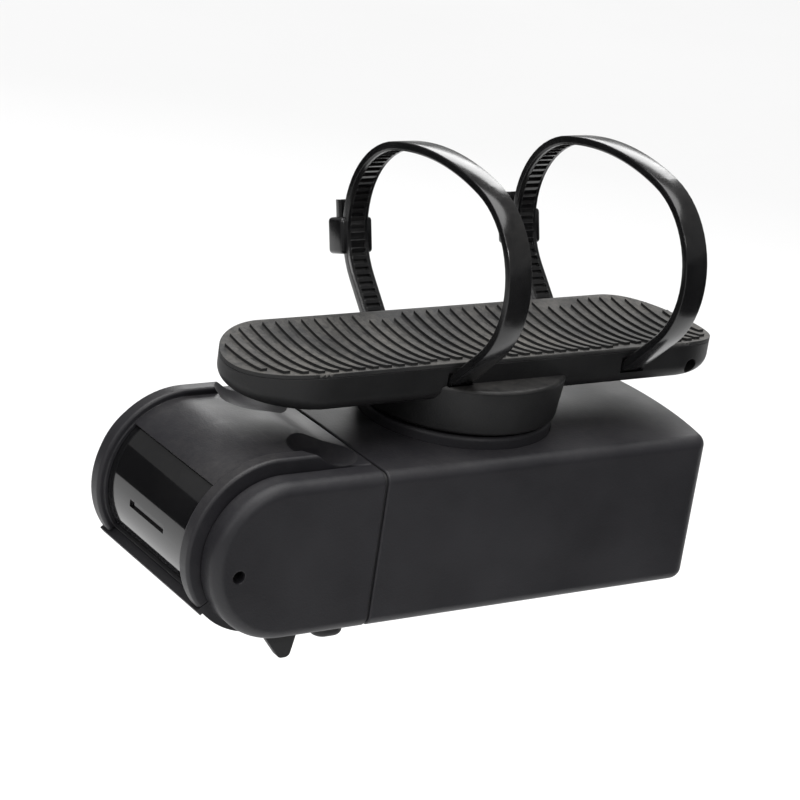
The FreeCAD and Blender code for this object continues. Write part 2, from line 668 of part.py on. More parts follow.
def cheek_outline(inset, half_width):
    top = BODY_TOP - inset
    bottom = BODY_BOTTOM + inset
    edges = [line(point(NOSE_X, 0, bottom), point(NOSE_X, 0, top)),
             line(point(NOSE_X, 0, top), point(CHEEK_CENTRE_X, 0, top)),
             quarter(CHEEK_CENTRE_X, CHEEK_CENTRE_Z, CHEEK_RADIUS - inset, 90),
             quarter(LOWER_CHEEK_CENTRE_X, CHEEK_CENTRE_Z, LOWER_CHEEK_RADIUS - inset, 0),
             line(point(LOWER_CHEEK_CENTRE_X, 0, bottom), point(NOSE_X, 0, bottom))]
    bar = side_face(edges).extrude(point(0, 2 * half_width, 0))
    bar.translate(point(0, -half_width, 0))
    return bar


def cover_outline(rise, half_width):
    top = BODY_TOP + rise
    bottom = COVER_CENTRE_Z - LOWER_COVER_RADIUS - rise
    ramp_middle = (RAMP_START_X + RAMP_END_X) / 2
    poles = [point(RAMP_START_X, 0, BODY_TOP), point(ramp_middle, 0, BODY_TOP),
             point(ramp_middle, 0, top), point(RAMP_END_X, 0, top)]
    ramp = Part.BezierCurve()
    ramp.setPoles(poles)
    edges = [line(point(NOSE_X, 0, bottom), point(NOSE_X, 0, BODY_TOP)),
             line(point(NOSE_X, 0, BODY_TOP), poles[0]),
             ramp.toShape(),
             line(poles[3], point(COVER_CENTRE_X, 0, top)),
             quarter(COVER_CENTRE_X, COVER_CENTRE_Z, COVER_BASE_RADIUS + rise, 90),
             quarter(LOWER_COVER_CENTRE_X, COVER_CENTRE_Z, LOWER_COVER_RADIUS + rise, 0),
             line(point(LOWER_COVER_CENTRE_X, 0, bottom), point(NOSE_X, 0, bottom))]
    bar = side_face(edges).extrude(point(0, 2 * half_width, 0))
    bar.translate(point(0, -half_width, 0))
    return bar


def wedge(low_angle, high_angle, half_width):
    """Everything between two directions from the nose's centre, in degrees up from straight ahead."""
    slice_ = Part.makeCylinder(FAR, 2 * half_width, point(COVER_CENTRE_X, half_width, COVER_CENTRE_Z),
                               point(0, -1, 0), high_angle - low_angle)
    mid = math.radians((low_angle + high_angle) / 2)
    centre = slice_.CenterOfMass
    now = math.atan2(centre.z - COVER_CENTRE_Z, centre.x - COVER_CENTRE_X)
    slice_.rotate(point(COVER_CENTRE_X, 0, COVER_CENTRE_Z), point(0, -1, 0), math.degrees(mid - now))
    return slice_


# ---- Nose case: two cheeks, floor, chin and bulkhead ----
def nose_shell():
    cheeks = cheek_outline(0, BODY_HALF_WIDTH)
    rims = edges_along(cheeks, lambda e: abs(abs(e.CenterOfMass.y) - BODY_HALF_WIDTH) < NEAR
                       and e.BoundBox.XMax > NOSE_X + NEAR)
    cheeks = cheeks.makeFillet(BODY_EDGE, rims)
    cheeks = cheeks.makeFillet(SEAM_EDGE, seam_edges(cheeks, NOSE_X))
    chin = cover_outline(RIM_RISE, COVER_HALF_WIDTH)
    chin = chin.common(wedge(CHIN_END_ANGLE, CHIN_START_ANGLE, COVER_HALF_WIDTH))
    lip = cover_outline(RIM_RISE + LIP_RISE, COVER_HALF_WIDTH)
    lip = lip.common(wedge(CHIN_START_ANGLE - LIP_ANGLE, CHIN_START_ANGLE, COVER_HALF_WIDTH))
    return joined([cheeks, chin, lip])


def cover_place(gap):
    half_width = COVER_HALF_WIDTH + gap
    zone = wedge(CHIN_START_ANGLE, COVER_BACK_ANGLE, half_width)
    return zone.cut(cheek_outline(WALL, half_width + OVERSHOOT)).cut(block(-FAR, NOSE_X, -FAR, FAR, -FAR, FAR))


def nose_case():
    case = nose_shell().cut(cover_place(COVER_GAP))
    room = cheek_outline(WALL, NOSE_ROOM_HALF_WIDTH)
    room = room.cut(block(-FAR, BULKHEAD_FRONT, -FAR, FAR, -FAR, FAR))
    case = case.cut(room)
    case = case.fuse([port_pad().common(room), tongue()] + pin_bosses() + io_posts())
    behind = SEAM_X - TONGUE_LENGTH - OVERSHOOT
    ahead = BULKHEAD_FRONT + OVERSHOOT
    case = case.cut(block(behind, ahead, -PASSAGE_HALF_WIDTH, PASSAGE_HALF_WIDTH, PASSAGE_BOTTOM, PASSAGE_TOP))
    for y, z in CASE_SCREWS:
        case = case.cut(rod_x(CASE_SCREW_RADIUS + TONGUE_GAP, behind, ahead, y, z))
    case = case.cut(pin_hole())
    case = case.cut(flap_room()).cut(port_opening()).cut(button_hole())
    for x, y in io_post_places():
        case = case.cut(post(IO_SCREW_RADIUS, x, y, PORT_PAD_TOP, IO_BOARD_Z + OVERSHOOT))
    return case.removeSplitter()


def tongue():
    side = INNER_HALF_WIDTH - TONGUE_GAP
    low = INNER_BOTTOM + TONGUE_GAP
    high = INNER_TOP - TONGUE_GAP
    start = SEAM_X - TONGUE_LENGTH
    outer = block(start, NOSE_X, -side, side, low, high)
    inner = block(start - OVERSHOOT, NOSE_X + OVERSHOOT, -side + TONGUE_WALL, side - TONGUE_WALL,
                  low + TONGUE_WALL, high - TONGUE_WALL)
    return outer.cut(inner)


def pin_hole():
    return rod_y(PIN_RADIUS + PIN_HOLE_GAP, PIN_X, -FAR, FAR, PIN_Z)


def pin_bosses():
    inner = COVER_HALF_WIDTH + COVER_GAP
    boss = rod_y(PIN_BOSS_RADIUS, PIN_X, inner, INNER_HALF_WIDTH, PIN_Z)
    return [boss, mirrored(boss)]


def case_screws():
    screws = []
    for y, z in CASE_SCREWS:
        head = rod_x(CASE_SCREW_HEAD_RADIUS, BULKHEAD_FRONT, BULKHEAD_FRONT + CASE_SCREW_HEAD_HEIGHT, y, z)
        tip = SEAM_X - CASE_SCREW_LENGTH + SCREW_END_GAP
        shank = rod_x(CASE_SCREW_RADIUS - SEAT_GAP, tip, BULKHEAD_FRONT, y, z)
        screws.append(joined([head, shank]))
    return group(screws)


# ---- Nose cover, window and pins ----
def ear():
    inner = COVER_HALF_WIDTH - EAR_THICKNESS
    disc = rod_y(PIN_BOSS_RADIUS, PIN_X, inner, COVER_HALF_WIDTH, PIN_Z)
    web = block(PIN_X, CHEEK_CENTRE_X + CHEEK_RADIUS, inner, COVER_HALF_WIDTH,
                PIN_Z - PIN_BOSS_RADIUS, PIN_Z + PIN_BOSS_RADIUS)
    return disc.fuse(web.common(cover_outline(0, COVER_HALF_WIDTH)))


def rim():
    """Raised rim on the left side of the cover, with its two upper edges rounded."""
    bar = cover_outline(RIM_RISE, COVER_HALF_WIDTH)
    bar = bar.common(block(-FAR, FAR, HUMP_HALF_WIDTH, COVER_HALF_WIDTH, -FAR, FAR))
    upper = edges_along(bar, lambda e: e.BoundBox.YLength < NEAR and e.BoundBox.XMax > RAMP_START_X + NEAR
                        and e.BoundBox.ZMax > COVER_CENTRE_Z + NEAR)
    return bar.makeFillet(RIM_EDGE, upper)


def nose_cover():
    cover = cover_outline(HUMP_RISE, HUMP_HALF_WIDTH + RIM_WIDTH / 2).fuse([rim(), mirrored(rim())])
    cover = cover.cut(cheek_outline(WALL - SEAT_GAP, COVER_HALF_WIDTH + OVERSHOOT))
    cover = cover.common(wedge(COVER_END_ANGLE, COVER_BACK_ANGLE, COVER_HALF_WIDTH))
    cover = cover.common(block(NOSE_X + SEAT_GAP, FAR, -FAR, FAR, -FAR, FAR))
    cover = cover.fuse([ear(), mirrored(ear())])
    seat = cover_outline(RIM_RISE + OVERSHOOT, WINDOW_HALF_WIDTH + SEAT_GAP)
    seat = seat.cut(cover_outline(WINDOW_RISE - WINDOW_THICKNESS - WINDOW_GASKET, FAR))
    seat_low = WINDOW_BOTTOM_ANGLE - WINDOW_END_GAP
    seat_high = WINDOW_TOP_ANGLE + WINDOW_END_GAP
    cover = cover.cut(seat.common(wedge(seat_low, seat_high, FAR)))
    cover = cover.cut(window_zone(-WINDOW_LEDGE))
    scoop_z = BODY_TOP + HUMP_RISE / 2 + SCOOP_RADIUS - SCOOP_DEPTH
    scoop = Part.makeSphere(SCOOP_RADIUS, point(SCOOP_X, SCOOP_Y, scoop_z))
    cover = cover.cut(scoop).cut(mirrored(scoop)).cut(pin_hole())
    return cover.removeSplitter()


def window_zone(margin):
    """The window's area grown by margin on every side, right through the cover."""
    spread = math.degrees(margin / (COVER_BASE_RADIUS + WINDOW_RISE))
    ring = cover_outline(RIM_RISE + OVERSHOOT, WINDOW_HALF_WIDTH + margin)
    ring = ring.cut(cover_outline(-COVER_BASE_RADIUS / 2, FAR))
    return ring.common(wedge(WINDOW_BOTTOM_ANGLE - spread, WINDOW_TOP_ANGLE + spread, FAR))


def window_sheet(outer_rise, inner_rise, margin):
    sheet = cover_outline(outer_rise, WINDOW_HALF_WIDTH).cut(cover_outline(inner_rise, FAR))
    return sheet.common(window_zone(margin))


def front_window():
    window = window_sheet(WINDOW_RISE, WINDOW_RISE - WINDOW_THICKNESS, 0)
    slit = cover_outline(WINDOW_RISE + OVERSHOOT, SLIT_HALF_LENGTH)
    slit = slit.cut(cover_outline(WINDOW_RISE - SLIT_DEPTH, FAR))
    slit = slit.common(wedge(SLIT_CENTRE_ANGLE - SLIT_HALF_ANGLE, SLIT_CENTRE_ANGLE + SLIT_HALF_ANGLE, FAR))
    return window.cut(slit)


def window_gasket():
    inner = WINDOW_RISE - WINDOW_THICKNESS
    gasket = window_sheet(inner - GLUE_GAP, inner - WINDOW_GASKET + GLUE_GAP, -GLUE_GAP)
    return gasket.cut(window_zone(-WINDOW_LEDGE))


def cover_pins():
    pin = rod_y(PIN_RADIUS, PIN_X, COVER_HALF_WIDTH - EAR_THICKNESS, BODY_HALF_WIDTH - PIN_RECESS, PIN_Z)
    return group([pin, mirrored(pin)])


# ---- Power button ----
def button_outline(margin, z0, z1):
    radius = BUTTON_WIDTH / 2 + margin
    reach = (BUTTON_LENGTH - BUTTON_WIDTH) / 2
    middle = block(BUTTON_X - reach, BUTTON_X + reach, BUTTON_Y - radius, BUTTON_Y + radius, z0, z1)
    return joined([middle, post(radius, BUTTON_X - reach, BUTTON_Y, z0, z1),
                   post(radius, BUTTON_X + reach, BUTTON_Y, z0, z1)])


def power_button():
    bottom = BODY_BOTTOM - BUTTON_PROUD
    flange_bottom = INNER_BOTTOM + SEAT_GAP
    cap = button_outline(0, bottom, flange_bottom)
    cap = cap.makeFillet(BUTTON_EDGE, edges_along(cap, lambda e: abs(e.CenterOfMass.z - bottom) < NEAR))
    flange = button_outline(BUTTON_FLANGE, flange_bottom, flange_bottom + BUTTON_FLANGE_THICKNESS)
    stem = post(BUTTON_STEM_RADIUS, BUTTON_X, BUTTON_Y, flange_bottom, BUTTON_STEM_TOP)
    return joined([cap, flange, stem])


def button_hole():
    hole = button_outline(BUTTON_HOLE_GAP, BODY_BOTTOM - OVERSHOOT, INNER_BOTTOM + SEAT_GAP)
    room = button_outline(BUTTON_FLANGE + BUTTON_HOLE_GAP, INNER_BOTTOM, BUTTON_STEM_TOP)
    return hole.fuse(room)


def button_seal():
    top = BUTTON_STEM_TOP - BUTTON_SEAL_DROP
    return tube_z(BUTTON_STEM_RADIUS + BUTTON_SEAL_WIDTH, BUTTON_STEM_RADIUS, BUTTON_X, BUTTON_Y,
                  top - BUTTON_SEAL_HEIGHT, top)


# ---- Charge port, its flap and the flap's pin ----
def port_pad():
    return block(FLAP_REAR_X - PORT_PAD_MARGIN, FLAP_FRONT_X + PORT_PAD_MARGIN,
                 FLAP_HINGE_Y - FLAP_BARREL_RADIUS - PORT_PAD_MARGIN, NOSE_ROOM_HALF_WIDTH,
                 INNER_BOTTOM - FLAP_GAP, PORT_PAD_TOP)


def flap_room():
    rear = FLAP_REAR_X - FLAP_GAP
    front = FLAP_FRONT_X + FLAP_GAP
    below = BODY_BOTTOM - OVERSHOOT
    barrel_radius = FLAP_BARREL_RADIUS + FLAP_BARREL_GAP
    plate = block(rear, front, FLAP_HINGE_Y, FLAP_FREE_Y + FLAP_GAP, below, FLAP_TOP + FLAP_GAP)
    corner = block(rear, front, FLAP_HINGE_Y - barrel_radius, FLAP_HINGE_Y, below, FLAP_HINGE_Z)
    barrel = rod_x(barrel_radius, rear, front, FLAP_HINGE_Y, FLAP_HINGE_Z)
    pin = rod_x(FLAP_PIN_RADIUS, rear - FLAP_PIN_BITE, front + FLAP_PIN_BITE, FLAP_HINGE_Y, FLAP_HINGE_Z)
    return plate.fuse([corner, barrel, pin])


def rounded_slot(length, width, z0, z1):
    radius = width / 2
    reach = length / 2 - radius
    middle = block(FLAP_MIDDLE_X - radius, FLAP_MIDDLE_X + radius, PORT_Y - reach, PORT_Y + reach, z0, z1)
    return joined([middle, post(radius, FLAP_MIDDLE_X, PORT_Y - reach, z0, z1),
                   post(radius, FLAP_MIDDLE_X, PORT_Y + reach, z0, z1)])


def port_opening():
    return rounded_slot(PORT_LENGTH + 2 * PORT_GAP, PORT_WIDTH + 2 * PORT_GAP,
                        BODY_BOTTOM - OVERSHOOT, PORT_PAD_TOP + OVERSHOOT)


def port_flap():
    plate = block(FLAP_REAR_X, FLAP_FRONT_X, FLAP_HINGE_Y + FLAP_GAP, FLAP_FREE_Y, BODY_BOTTOM, FLAP_TOP)
    barrel = rod_x(FLAP_BARREL_RADIUS, FLAP_REAR_X, FLAP_FRONT_X, FLAP_HINGE_Y, FLAP_HINGE_Z)
    plug = rounded_slot(PORT_LENGTH - 2 * PLUG_SHRINK, PORT_WIDTH - 2 * PLUG_SHRINK,
                        FLAP_TOP, FLAP_TOP + PLUG_HEIGHT)
    tip = BODY_BOTTOM - TAB_DEPTH
    inner_face = FLAP_FREE_Y - TAB_THICKNESS
    outline = [point(FLAP_FRONT_X, inner_face, BODY_BOTTOM),
               point(FLAP_REAR_X + TAB_TIP_FRONT, inner_face, tip),
               point(FLAP_REAR_X + TAB_TIP_REAR, inner_face, tip),
               point(FLAP_REAR_X, inner_face, BODY_BOTTOM)]
    sides = [line(outline[i - 1], outline[i]) for i in range(len(outline))]
    tab = Part.Face(Part.Wire(sides)).extrude(point(0, TAB_THICKNESS, 0))
    tip_edges = edges_along(tab, lambda e: abs(e.BoundBox.ZMax - tip) < NEAR and e.BoundBox.XLength < NEAR)
    tab = tab.makeFillet(TAB_TIP_RADIUS, tip_edges)
    flap = joined([plate, barrel, plug, tab])
    return flap.cut(rod_x(FLAP_PIN_RADIUS + FLAP_PIN_FIT, -FAR, FAR, FLAP_HINGE_Y, FLAP_HINGE_Z))


def flap_pin():
    return rod_x(FLAP_PIN_RADIUS, FLAP_REAR_X - FLAP_PIN_BITE, FLAP_FRONT_X + FLAP_PIN_BITE,
                 FLAP_HINGE_Y, FLAP_HINGE_Z)


def charge_socket():
    back = IO_BOARD_Z - SOCKET_WALL
    outer = rounded_slot(PORT_LENGTH, PORT_WIDTH, PORT_PAD_TOP, IO_BOARD_Z)
    inner = rounded_slot(PORT_LENGTH - 2 * SOCKET_WALL, PORT_WIDTH - 2 * SOCKET_WALL,
                         PORT_PAD_TOP - OVERSHOOT, back)
    half = SOCKET_TONGUE_THICKNESS / 2
    reach = PORT_LENGTH / 4
    blade = block(FLAP_MIDDLE_X - half, FLAP_MIDDLE_X + half, PORT_Y - reach, PORT_Y + reach,
                  PORT_PAD_TOP + SOCKET_TONGUE_INSET, back)
    return joined([outer.cut(inner), blade])


# ---- Small board behind the port and the button ----
def io_post_places():
    return [(IO_BOARD_REAR + IO_POST_INSET_REAR, IO_POST_Y), (IO_BOARD_FRONT - IO_POST_INSET_FRONT, IO_POST_Y)]


def io_posts():
    return [post(IO_POST_RADIUS, x, y, INNER_BOTTOM - FLAP_GAP, IO_BOARD_Z) for x, y in io_post_places()]


def io_board():
    board = block(IO_BOARD_REAR, IO_BOARD_FRONT, IO_BOARD_RIGHT, IO_BOARD_LEFT, IO_BOARD_Z, IO_BOARD_TOP)
    for x, y in io_post_places():
        board = board.cut(post(IO_SCREW_RADIUS + SEAT_GAP, x, y, IO_BOARD_Z, IO_BOARD_TOP))
    return board


def io_screws():
    screws = []
    for x, y in io_post_places():
        head = post(IO_SCREW_HEAD_RADIUS, x, y, IO_BOARD_TOP, IO_BOARD_TOP + IO_SCREW_HEAD_HEIGHT)
        shank = post(IO_SCREW_RADIUS - SEAT_GAP / 2, x, y, PORT_PAD_TOP + SCREW_END_GAP, IO_BOARD_TOP)
        screws.append(joined([head, shank]))
    return group(screws)


def dome_switch():
    half = SWITCH_SIDE / 2
    body = block(BUTTON_X - half, BUTTON_X + half, BUTTON_Y - half, BUTTON_Y + half,
                 IO_BOARD_Z - SWITCH_HEIGHT, IO_BOARD_Z)
    plunger = post(SWITCH_PLUNGER_RADIUS, BUTTON_X, BUTTON_Y, SWITCH_PLUNGER_BOTTOM, IO_BOARD_Z)
    return joined([body, plunger])


# ---- Sensor behind the window ----
def sensor_bracket():
    plate = block(SENSOR_BRACKET_X, SENSOR_BRACKET_X + SENSOR_BRACKET_THICKNESS,
                  -SENSOR_BRACKET_HALF_WIDTH, SENSOR_BRACKET_HALF_WIDTH, BODY_BOTTOM, SENSOR_BRACKET_TOP)
    return plate.common(cheek_outline(WALL + SEAT_GAP, FAR))


def sensor_board():
    rear = SENSOR_BRACKET_X + SENSOR_BRACKET_THICKNESS
    return block(rear, rear + SENSOR_BOARD_THICKNESS, -SENSOR_BOARD_HALF_WIDTH, SENSOR_BOARD_HALF_WIDTH,
                 SENSOR_BOARD_BOTTOM, SENSOR_BOARD_TOP)


def sensor_front():
    return SENSOR_BRACKET_X + SENSOR_BRACKET_THICKNESS + SENSOR_BOARD_THICKNESS


def sensor_housing():
    x0 = sensor_front()
    half = SENSOR_HOUSING_HALF_SIDE
    box = block(x0, x0 + SENSOR_HOUSING_LENGTH, -half, half, SENSOR_Z - half, SENSOR_Z + half)
    return box.cut(rod_x(SENSOR_BORE_RADIUS, x0, x0 + SENSOR_HOUSING_LENGTH, 0, SENSOR_Z))


def sensor_lens():
    end = sensor_front() + SENSOR_HOUSING_LENGTH
    ball = Part.makeSphere(SENSOR_LENS_CURVE, point(end - SENSOR_LENS_CURVE, 0, SENSOR_Z))
    barrel = rod_x(SENSOR_BORE_RADIUS - SENSOR_LENS_GAP, end - SENSOR_LENS_THICKNESS, end, 0, SENSOR_Z)
    return ball.common(barrel)


def status_led():
    x0 = sensor_front()
    return block(x0, x0 + LED_HEIGHT, LED_Y - LED_SIDE / 2, LED_Y + LED_SIDE / 2,
                 SENSOR_Z - LED_SIDE / 2, SENSOR_Z + LED_SIDE / 2)


def sensor_flex():
    return block(MAIN_BOARD_FRONT - FLEX_OVERLAP, SENSOR_BRACKET_X, -FLEX_HALF_WIDTH, FLEX_HALF_WIDTH,
                 MAIN_BOARD_TOP, MAIN_BOARD_TOP + FLEX_THICKNESS)


# ---- Main board and what it carries ----
def main_board():
    board = block(MAIN_BOARD_REAR, MAIN_BOARD_FRONT, -MAIN_BOARD_HALF_WIDTH, MAIN_BOARD_HALF_WIDTH,
                  MAIN_BOARD_BOTTOM, MAIN_BOARD_TOP)
    rear = edges_along(board, lambda e: e.BoundBox.ZLength > BOARD_THICKNESS / 2 and e.BoundBox.XMax < 0)
    return board.makeFillet(REAR_CORNER / 2, rear)


def rf_shield():
    height = MAIN_BOARD_TOP + SHIELD_HEIGHT
    can = block(SHIELD_REAR, SHIELD_FRONT, -SHIELD_HALF_WIDTH, SHIELD_HALF_WIDTH, MAIN_BOARD_TOP, height)
    side = SHIELD_HALF_WIDTH - SHIELD_WALL
    room = block(SHIELD_REAR + SHIELD_WALL, SHIELD_FRONT - SHIELD_WALL, -side, side,
                 MAIN_BOARD_TOP - OVERSHOOT, height - SHIELD_WALL)
    return can.cut(room)


def antenna():
    half = ANTENNA_SIDE / 2
    return block(ANTENNA_REAR, ANTENNA_REAR + ANTENNA_SIDE, -half, half, MAIN_BOARD_TOP,
                 MAIN_BOARD_TOP + ANTENNA_HEIGHT)


def board_chips():
    top = MAIN_BOARD_TOP + CHIP_HEIGHT
    return group([block(x - half, x + half, y - half, y + half, MAIN_BOARD_TOP, top) for x, y, half in CHIPS])


def buzzer():
    top = MAIN_BOARD_TOP + BUZZER_HEIGHT
    disc = post(BUZZER_RADIUS, BUZZER_X, BUZZER_Y, MAIN_BOARD_TOP, top)
    return disc.cut(post(BUZZER_HOLE_RADIUS, BUZZER_X, BUZZER_Y, top - BUZZER_HEIGHT / 2, top))


# ---- Battery ----
def battery_cell():
    cell = block(BATTERY_REAR, BATTERY_FRONT, -BATTERY_HALF_WIDTH, BATTERY_HALF_WIDTH,
                 BATTERY_BOTTOM, BATTERY_BOTTOM + BATTERY_HEIGHT)
    return cell.makeFillet(BATTERY_EDGE, long_edges(cell))


def battery_foam():
    return block(BATTERY_REAR + FOAM_INSET, BATTERY_FRONT - FOAM_INSET, -BATTERY_HALF_WIDTH + FOAM_INSET,
                 BATTERY_HALF_WIDTH - FOAM_INSET, INNER_BOTTOM, BATTERY_BOTTOM)


def battery_connector():
    return block(CONNECTOR_REAR, CONNECTOR_FRONT, CONNECTOR_Y - CONNECTOR_HALF_WIDTH,
                 CONNECTOR_Y + CONNECTOR_HALF_WIDTH, MAIN_BOARD_TOP, MAIN_BOARD_TOP + CONNECTOR_HEIGHT)


def lead(y):
    low = BATTERY_BOTTOM + BATTERY_HEIGHT - LEAD_RISE_FROM_BATTERY
    high = MAIN_BOARD_TOP + CONNECTOR_HEIGHT / 2
    bend = LEAD_BEND
    slant = bend * (1 - math.sqrt(0.5))
    front = LEAD_FRONT_X
    low_start = point(front - bend, y, low)
    low_end = point(front, y, low + bend)
    high_start = point(front, y, high - bend)
    high_end = point(front - bend, y, high)
    path = [line(point(BATTERY_FRONT, y, low), low_start),
            arc_through(low_start, point(front - slant, y, low + slant), low_end),
            line(low_end, high_start),
            arc_through(high_start, point(front - slant, y, high - slant), high_end),
            line(high_end, point(CONNECTOR_FRONT, y, high))]
    ring = Part.Wire(Part.Circle(point(BATTERY_FRONT, y, low), point(1, 0, 0), LEAD_RADIUS).toShape())
    return Part.Wire(path).makePipeShell([ring], True, True)


def battery_leads():
    return group([lead(CONNECTOR_Y + side * LEAD_SPACING / 2) for side in (-1, 1)])


NODES = {
    "cable_tie_front": lambda: cable_tie(TIE_FRONT_X),
    "cable_tie_rear": lambda: cable_tie(TIE_FRONT_X - TIE_SPACING),
    "mount_saddle": mount_saddle,
    "saddle_pad": saddle_pad,
    "saddle_inserts": saddle_inserts,
    "mount_hub": mount_hub,
    "hub_screws": hub_screws,
    "lock_ring": lock_ring,
    "lock_ring_screws": lock_ring_screws,
    "lock_seal": lock_seal,
    "rear_case": rear_case,
    "seam_gasket": seam_gasket,
    "nose_case": nose_case,
    "case_screws": case_screws,
    "nose_cover": nose_cover,
    "front_window": front_window,
    "window_gasket": window_gasket,
    "cover_pins": cover_pins,
    "power_button": power_button,
    "button_seal": button_seal,
    "dome_switch": dome_switch,
    "port_flap": port_flap,
    "flap_pin": flap_pin,
    "charge_socket": charge_socket,
    "io_board": io_board,
    "io_screws": io_screws,
    "sensor_bracket": sensor_bracket,
    "sensor_board": sensor_board,
    "sensor_housing": sensor_housing,
    "sensor_lens": sensor_lens,
    "status_led": status_led,
    "sensor_flex": sensor_flex,
    "main_board": main_board,
    "rf_shield": rf_shield,
    "antenna": antenna,
    "board_chips": board_chips,
    "buzzer": buzzer,
    "battery_cell": battery_cell,
    "battery_foam": battery_foam,
    "battery_connector": battery_connector,
    "battery_leads": battery_leads,
}

os.makedirs("parts", exist_ok=True)
for name, make in NODES.items():
    shape = make()
    shape.exportStep("parts/" + name + ".step")
    state = "valid" if shape.isValid() else "NOT VALID"
    print(name, len(shape.Solids), "solids", round(shape.Volume, 2), "mm3", state)
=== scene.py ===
import math

import bmesh
import bpy
from mathutils import Matrix, Vector


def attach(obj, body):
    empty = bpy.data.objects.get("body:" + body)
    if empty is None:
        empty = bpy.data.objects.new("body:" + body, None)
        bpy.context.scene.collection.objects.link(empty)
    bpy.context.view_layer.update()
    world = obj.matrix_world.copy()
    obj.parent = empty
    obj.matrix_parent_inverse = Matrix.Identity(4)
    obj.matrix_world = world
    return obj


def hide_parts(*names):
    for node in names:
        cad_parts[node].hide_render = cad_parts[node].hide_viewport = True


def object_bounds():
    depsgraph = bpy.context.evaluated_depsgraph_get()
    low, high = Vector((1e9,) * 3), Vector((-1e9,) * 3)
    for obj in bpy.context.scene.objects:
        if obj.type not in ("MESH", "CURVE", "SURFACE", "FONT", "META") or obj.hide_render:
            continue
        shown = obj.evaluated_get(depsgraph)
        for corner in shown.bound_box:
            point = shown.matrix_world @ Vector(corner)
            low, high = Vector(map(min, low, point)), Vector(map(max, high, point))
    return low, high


# A small computer that hangs under a bicycle's top tube. Metres; +X to the front of the bicycle,
# +Y to its left, +Z up. The origin is on the tube's axis, above the axis of the quarter-turn mount.
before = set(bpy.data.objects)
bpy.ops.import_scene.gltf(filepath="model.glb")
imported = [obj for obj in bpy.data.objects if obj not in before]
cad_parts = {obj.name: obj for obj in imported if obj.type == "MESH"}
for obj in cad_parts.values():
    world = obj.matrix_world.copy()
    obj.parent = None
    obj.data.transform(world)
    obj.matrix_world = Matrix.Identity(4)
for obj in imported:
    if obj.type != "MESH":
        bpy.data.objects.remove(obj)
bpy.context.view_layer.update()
MM = 0.001
MERGE_MM = 0.002
FLAT_ANGLE = 0.4

# ---- Cable ties ----
# Two black nylon ties, each pulled tight round the tube and under the saddle's bridge. The strap has a
# ladder of teeth in a sunk track on its inner face, and it locks in a moulded head on the far side.
TIE_WIDTH = 3.6
TIE_THICKNESS = 1.2
TIE_CENTRES = {"cable_tie_front": 7.3, "cable_tie_rear": -21.4}
TIE_EDGE = 0.22
EDGE_CUT = 0.3
TRACK_WIDTH = 2.2
TRACK_DEPTH = 0.4
TOOTH_PITCH = 1.1
TOOTH_LENGTH = 0.55
TUBE_SIDE_Y = 6.8
TUBE_SIDE_RADIUS = 11.55
TUBE_CROWN_RADIUS = 36.335
TUBE_CROWN_DROP = 23.835
TIE_FLOOR_Y = 7.6
TIE_FLOOR_Z = -12.7
TIE_CORNER_RADIUS = 2.0
ARC_STEPS = 20
HEAD_ANGLE = 197.0
HEAD_LENGTH = 5.0
HEAD_WIDTH = 5.2
HEAD_HEIGHT = 3.6
HEAD_EDGE = 0.6
SLOT_WIDTH = 3.9
SLOT_HEIGHT = 1.5
TAIL_LENGTH = 2.4
TAIL_GAP = 0.2


def new_object(name, mesh):
    made = bpy.data.objects.new(name, mesh)
    bpy.context.scene.collection.objects.link(made)
    return made


def mesh_from(name, points_mm, faces):
    mesh = bpy.data.meshes.new(name)
    mesh.from_pydata([Vector(p) * MM for p in points_mm], [], faces)
    mesh.update()
    return mesh


def smooth(mesh, sharp_over=32.0):
    """Smooth shading, except across edges that turn by more than sharp_over degrees."""
    mesh.shade_smooth()
    mesh.set_sharp_from_angle(angle=math.radians(sharp_over))


def evaluated(shape):
    """The plain mesh that the object's modifiers make. The modifiers are then removed."""
    depsgraph = bpy.context.evaluated_depsgraph_get()
    mesh = bpy.data.meshes.new_from_object(shape.evaluated_get(depsgraph))
    shape.modifiers.clear()
    shape.data = mesh
    return mesh


def softened(shape, width_mm, segments=2, over=35.0):
    """Rounds every edge that turns by more than the given angle."""
    bevel = shape.modifiers.new("edges", "BEVEL")
    bevel.width = width_mm * MM
    bevel.segments = segments
    bevel.limit_method = "ANGLE"
    bevel.angle_limit = math.radians(over)
    bevel.use_clamp_overlap = True
    evaluated(shape)


def paint(shape, material):
    shape.data.materials.clear()
    shape.data.materials.append(material)
    for face in shape.data.polygons:
        face.material_index = 0


def add(tree, kind, inputs=None, **settings):
    """Adds a node, with its inputs set to numbers or wired to sockets."""
    made = tree.nodes.new(kind)
    for key, value in settings.items():
        setattr(made, key, value)
    for key, value in (inputs or {}).items():
        if isinstance(value, bpy.types.NodeSocket):
            tree.links.new(value, made.inputs[key])
        else:
            made.inputs[key].default_value = value
    return made


def maths(tree, operation, first, second=0.0, third=0.0):
    made = add(tree, "ShaderNodeMath", {0: first, 1: second, 2: third}, operation=operation)
    return made.outputs[0]


def shader_group(name, inputs, outputs):
    """An empty node group with named inputs (name, kind, value) and outputs (name, kind)."""
    group = bpy.data.node_groups.new(name, "ShaderNodeTree")
    for socket_name, kind, value in inputs:
        socket = group.interface.new_socket(socket_name, in_out="INPUT", socket_type=kind)
        if value is not None:
            socket.default_value = value
    for socket_name, kind in outputs:
        group.interface.new_socket(socket_name, in_out="OUTPUT", socket_type=kind)
    return group, group.nodes.new("NodeGroupInput"), group.nodes.new("NodeGroupOutput")


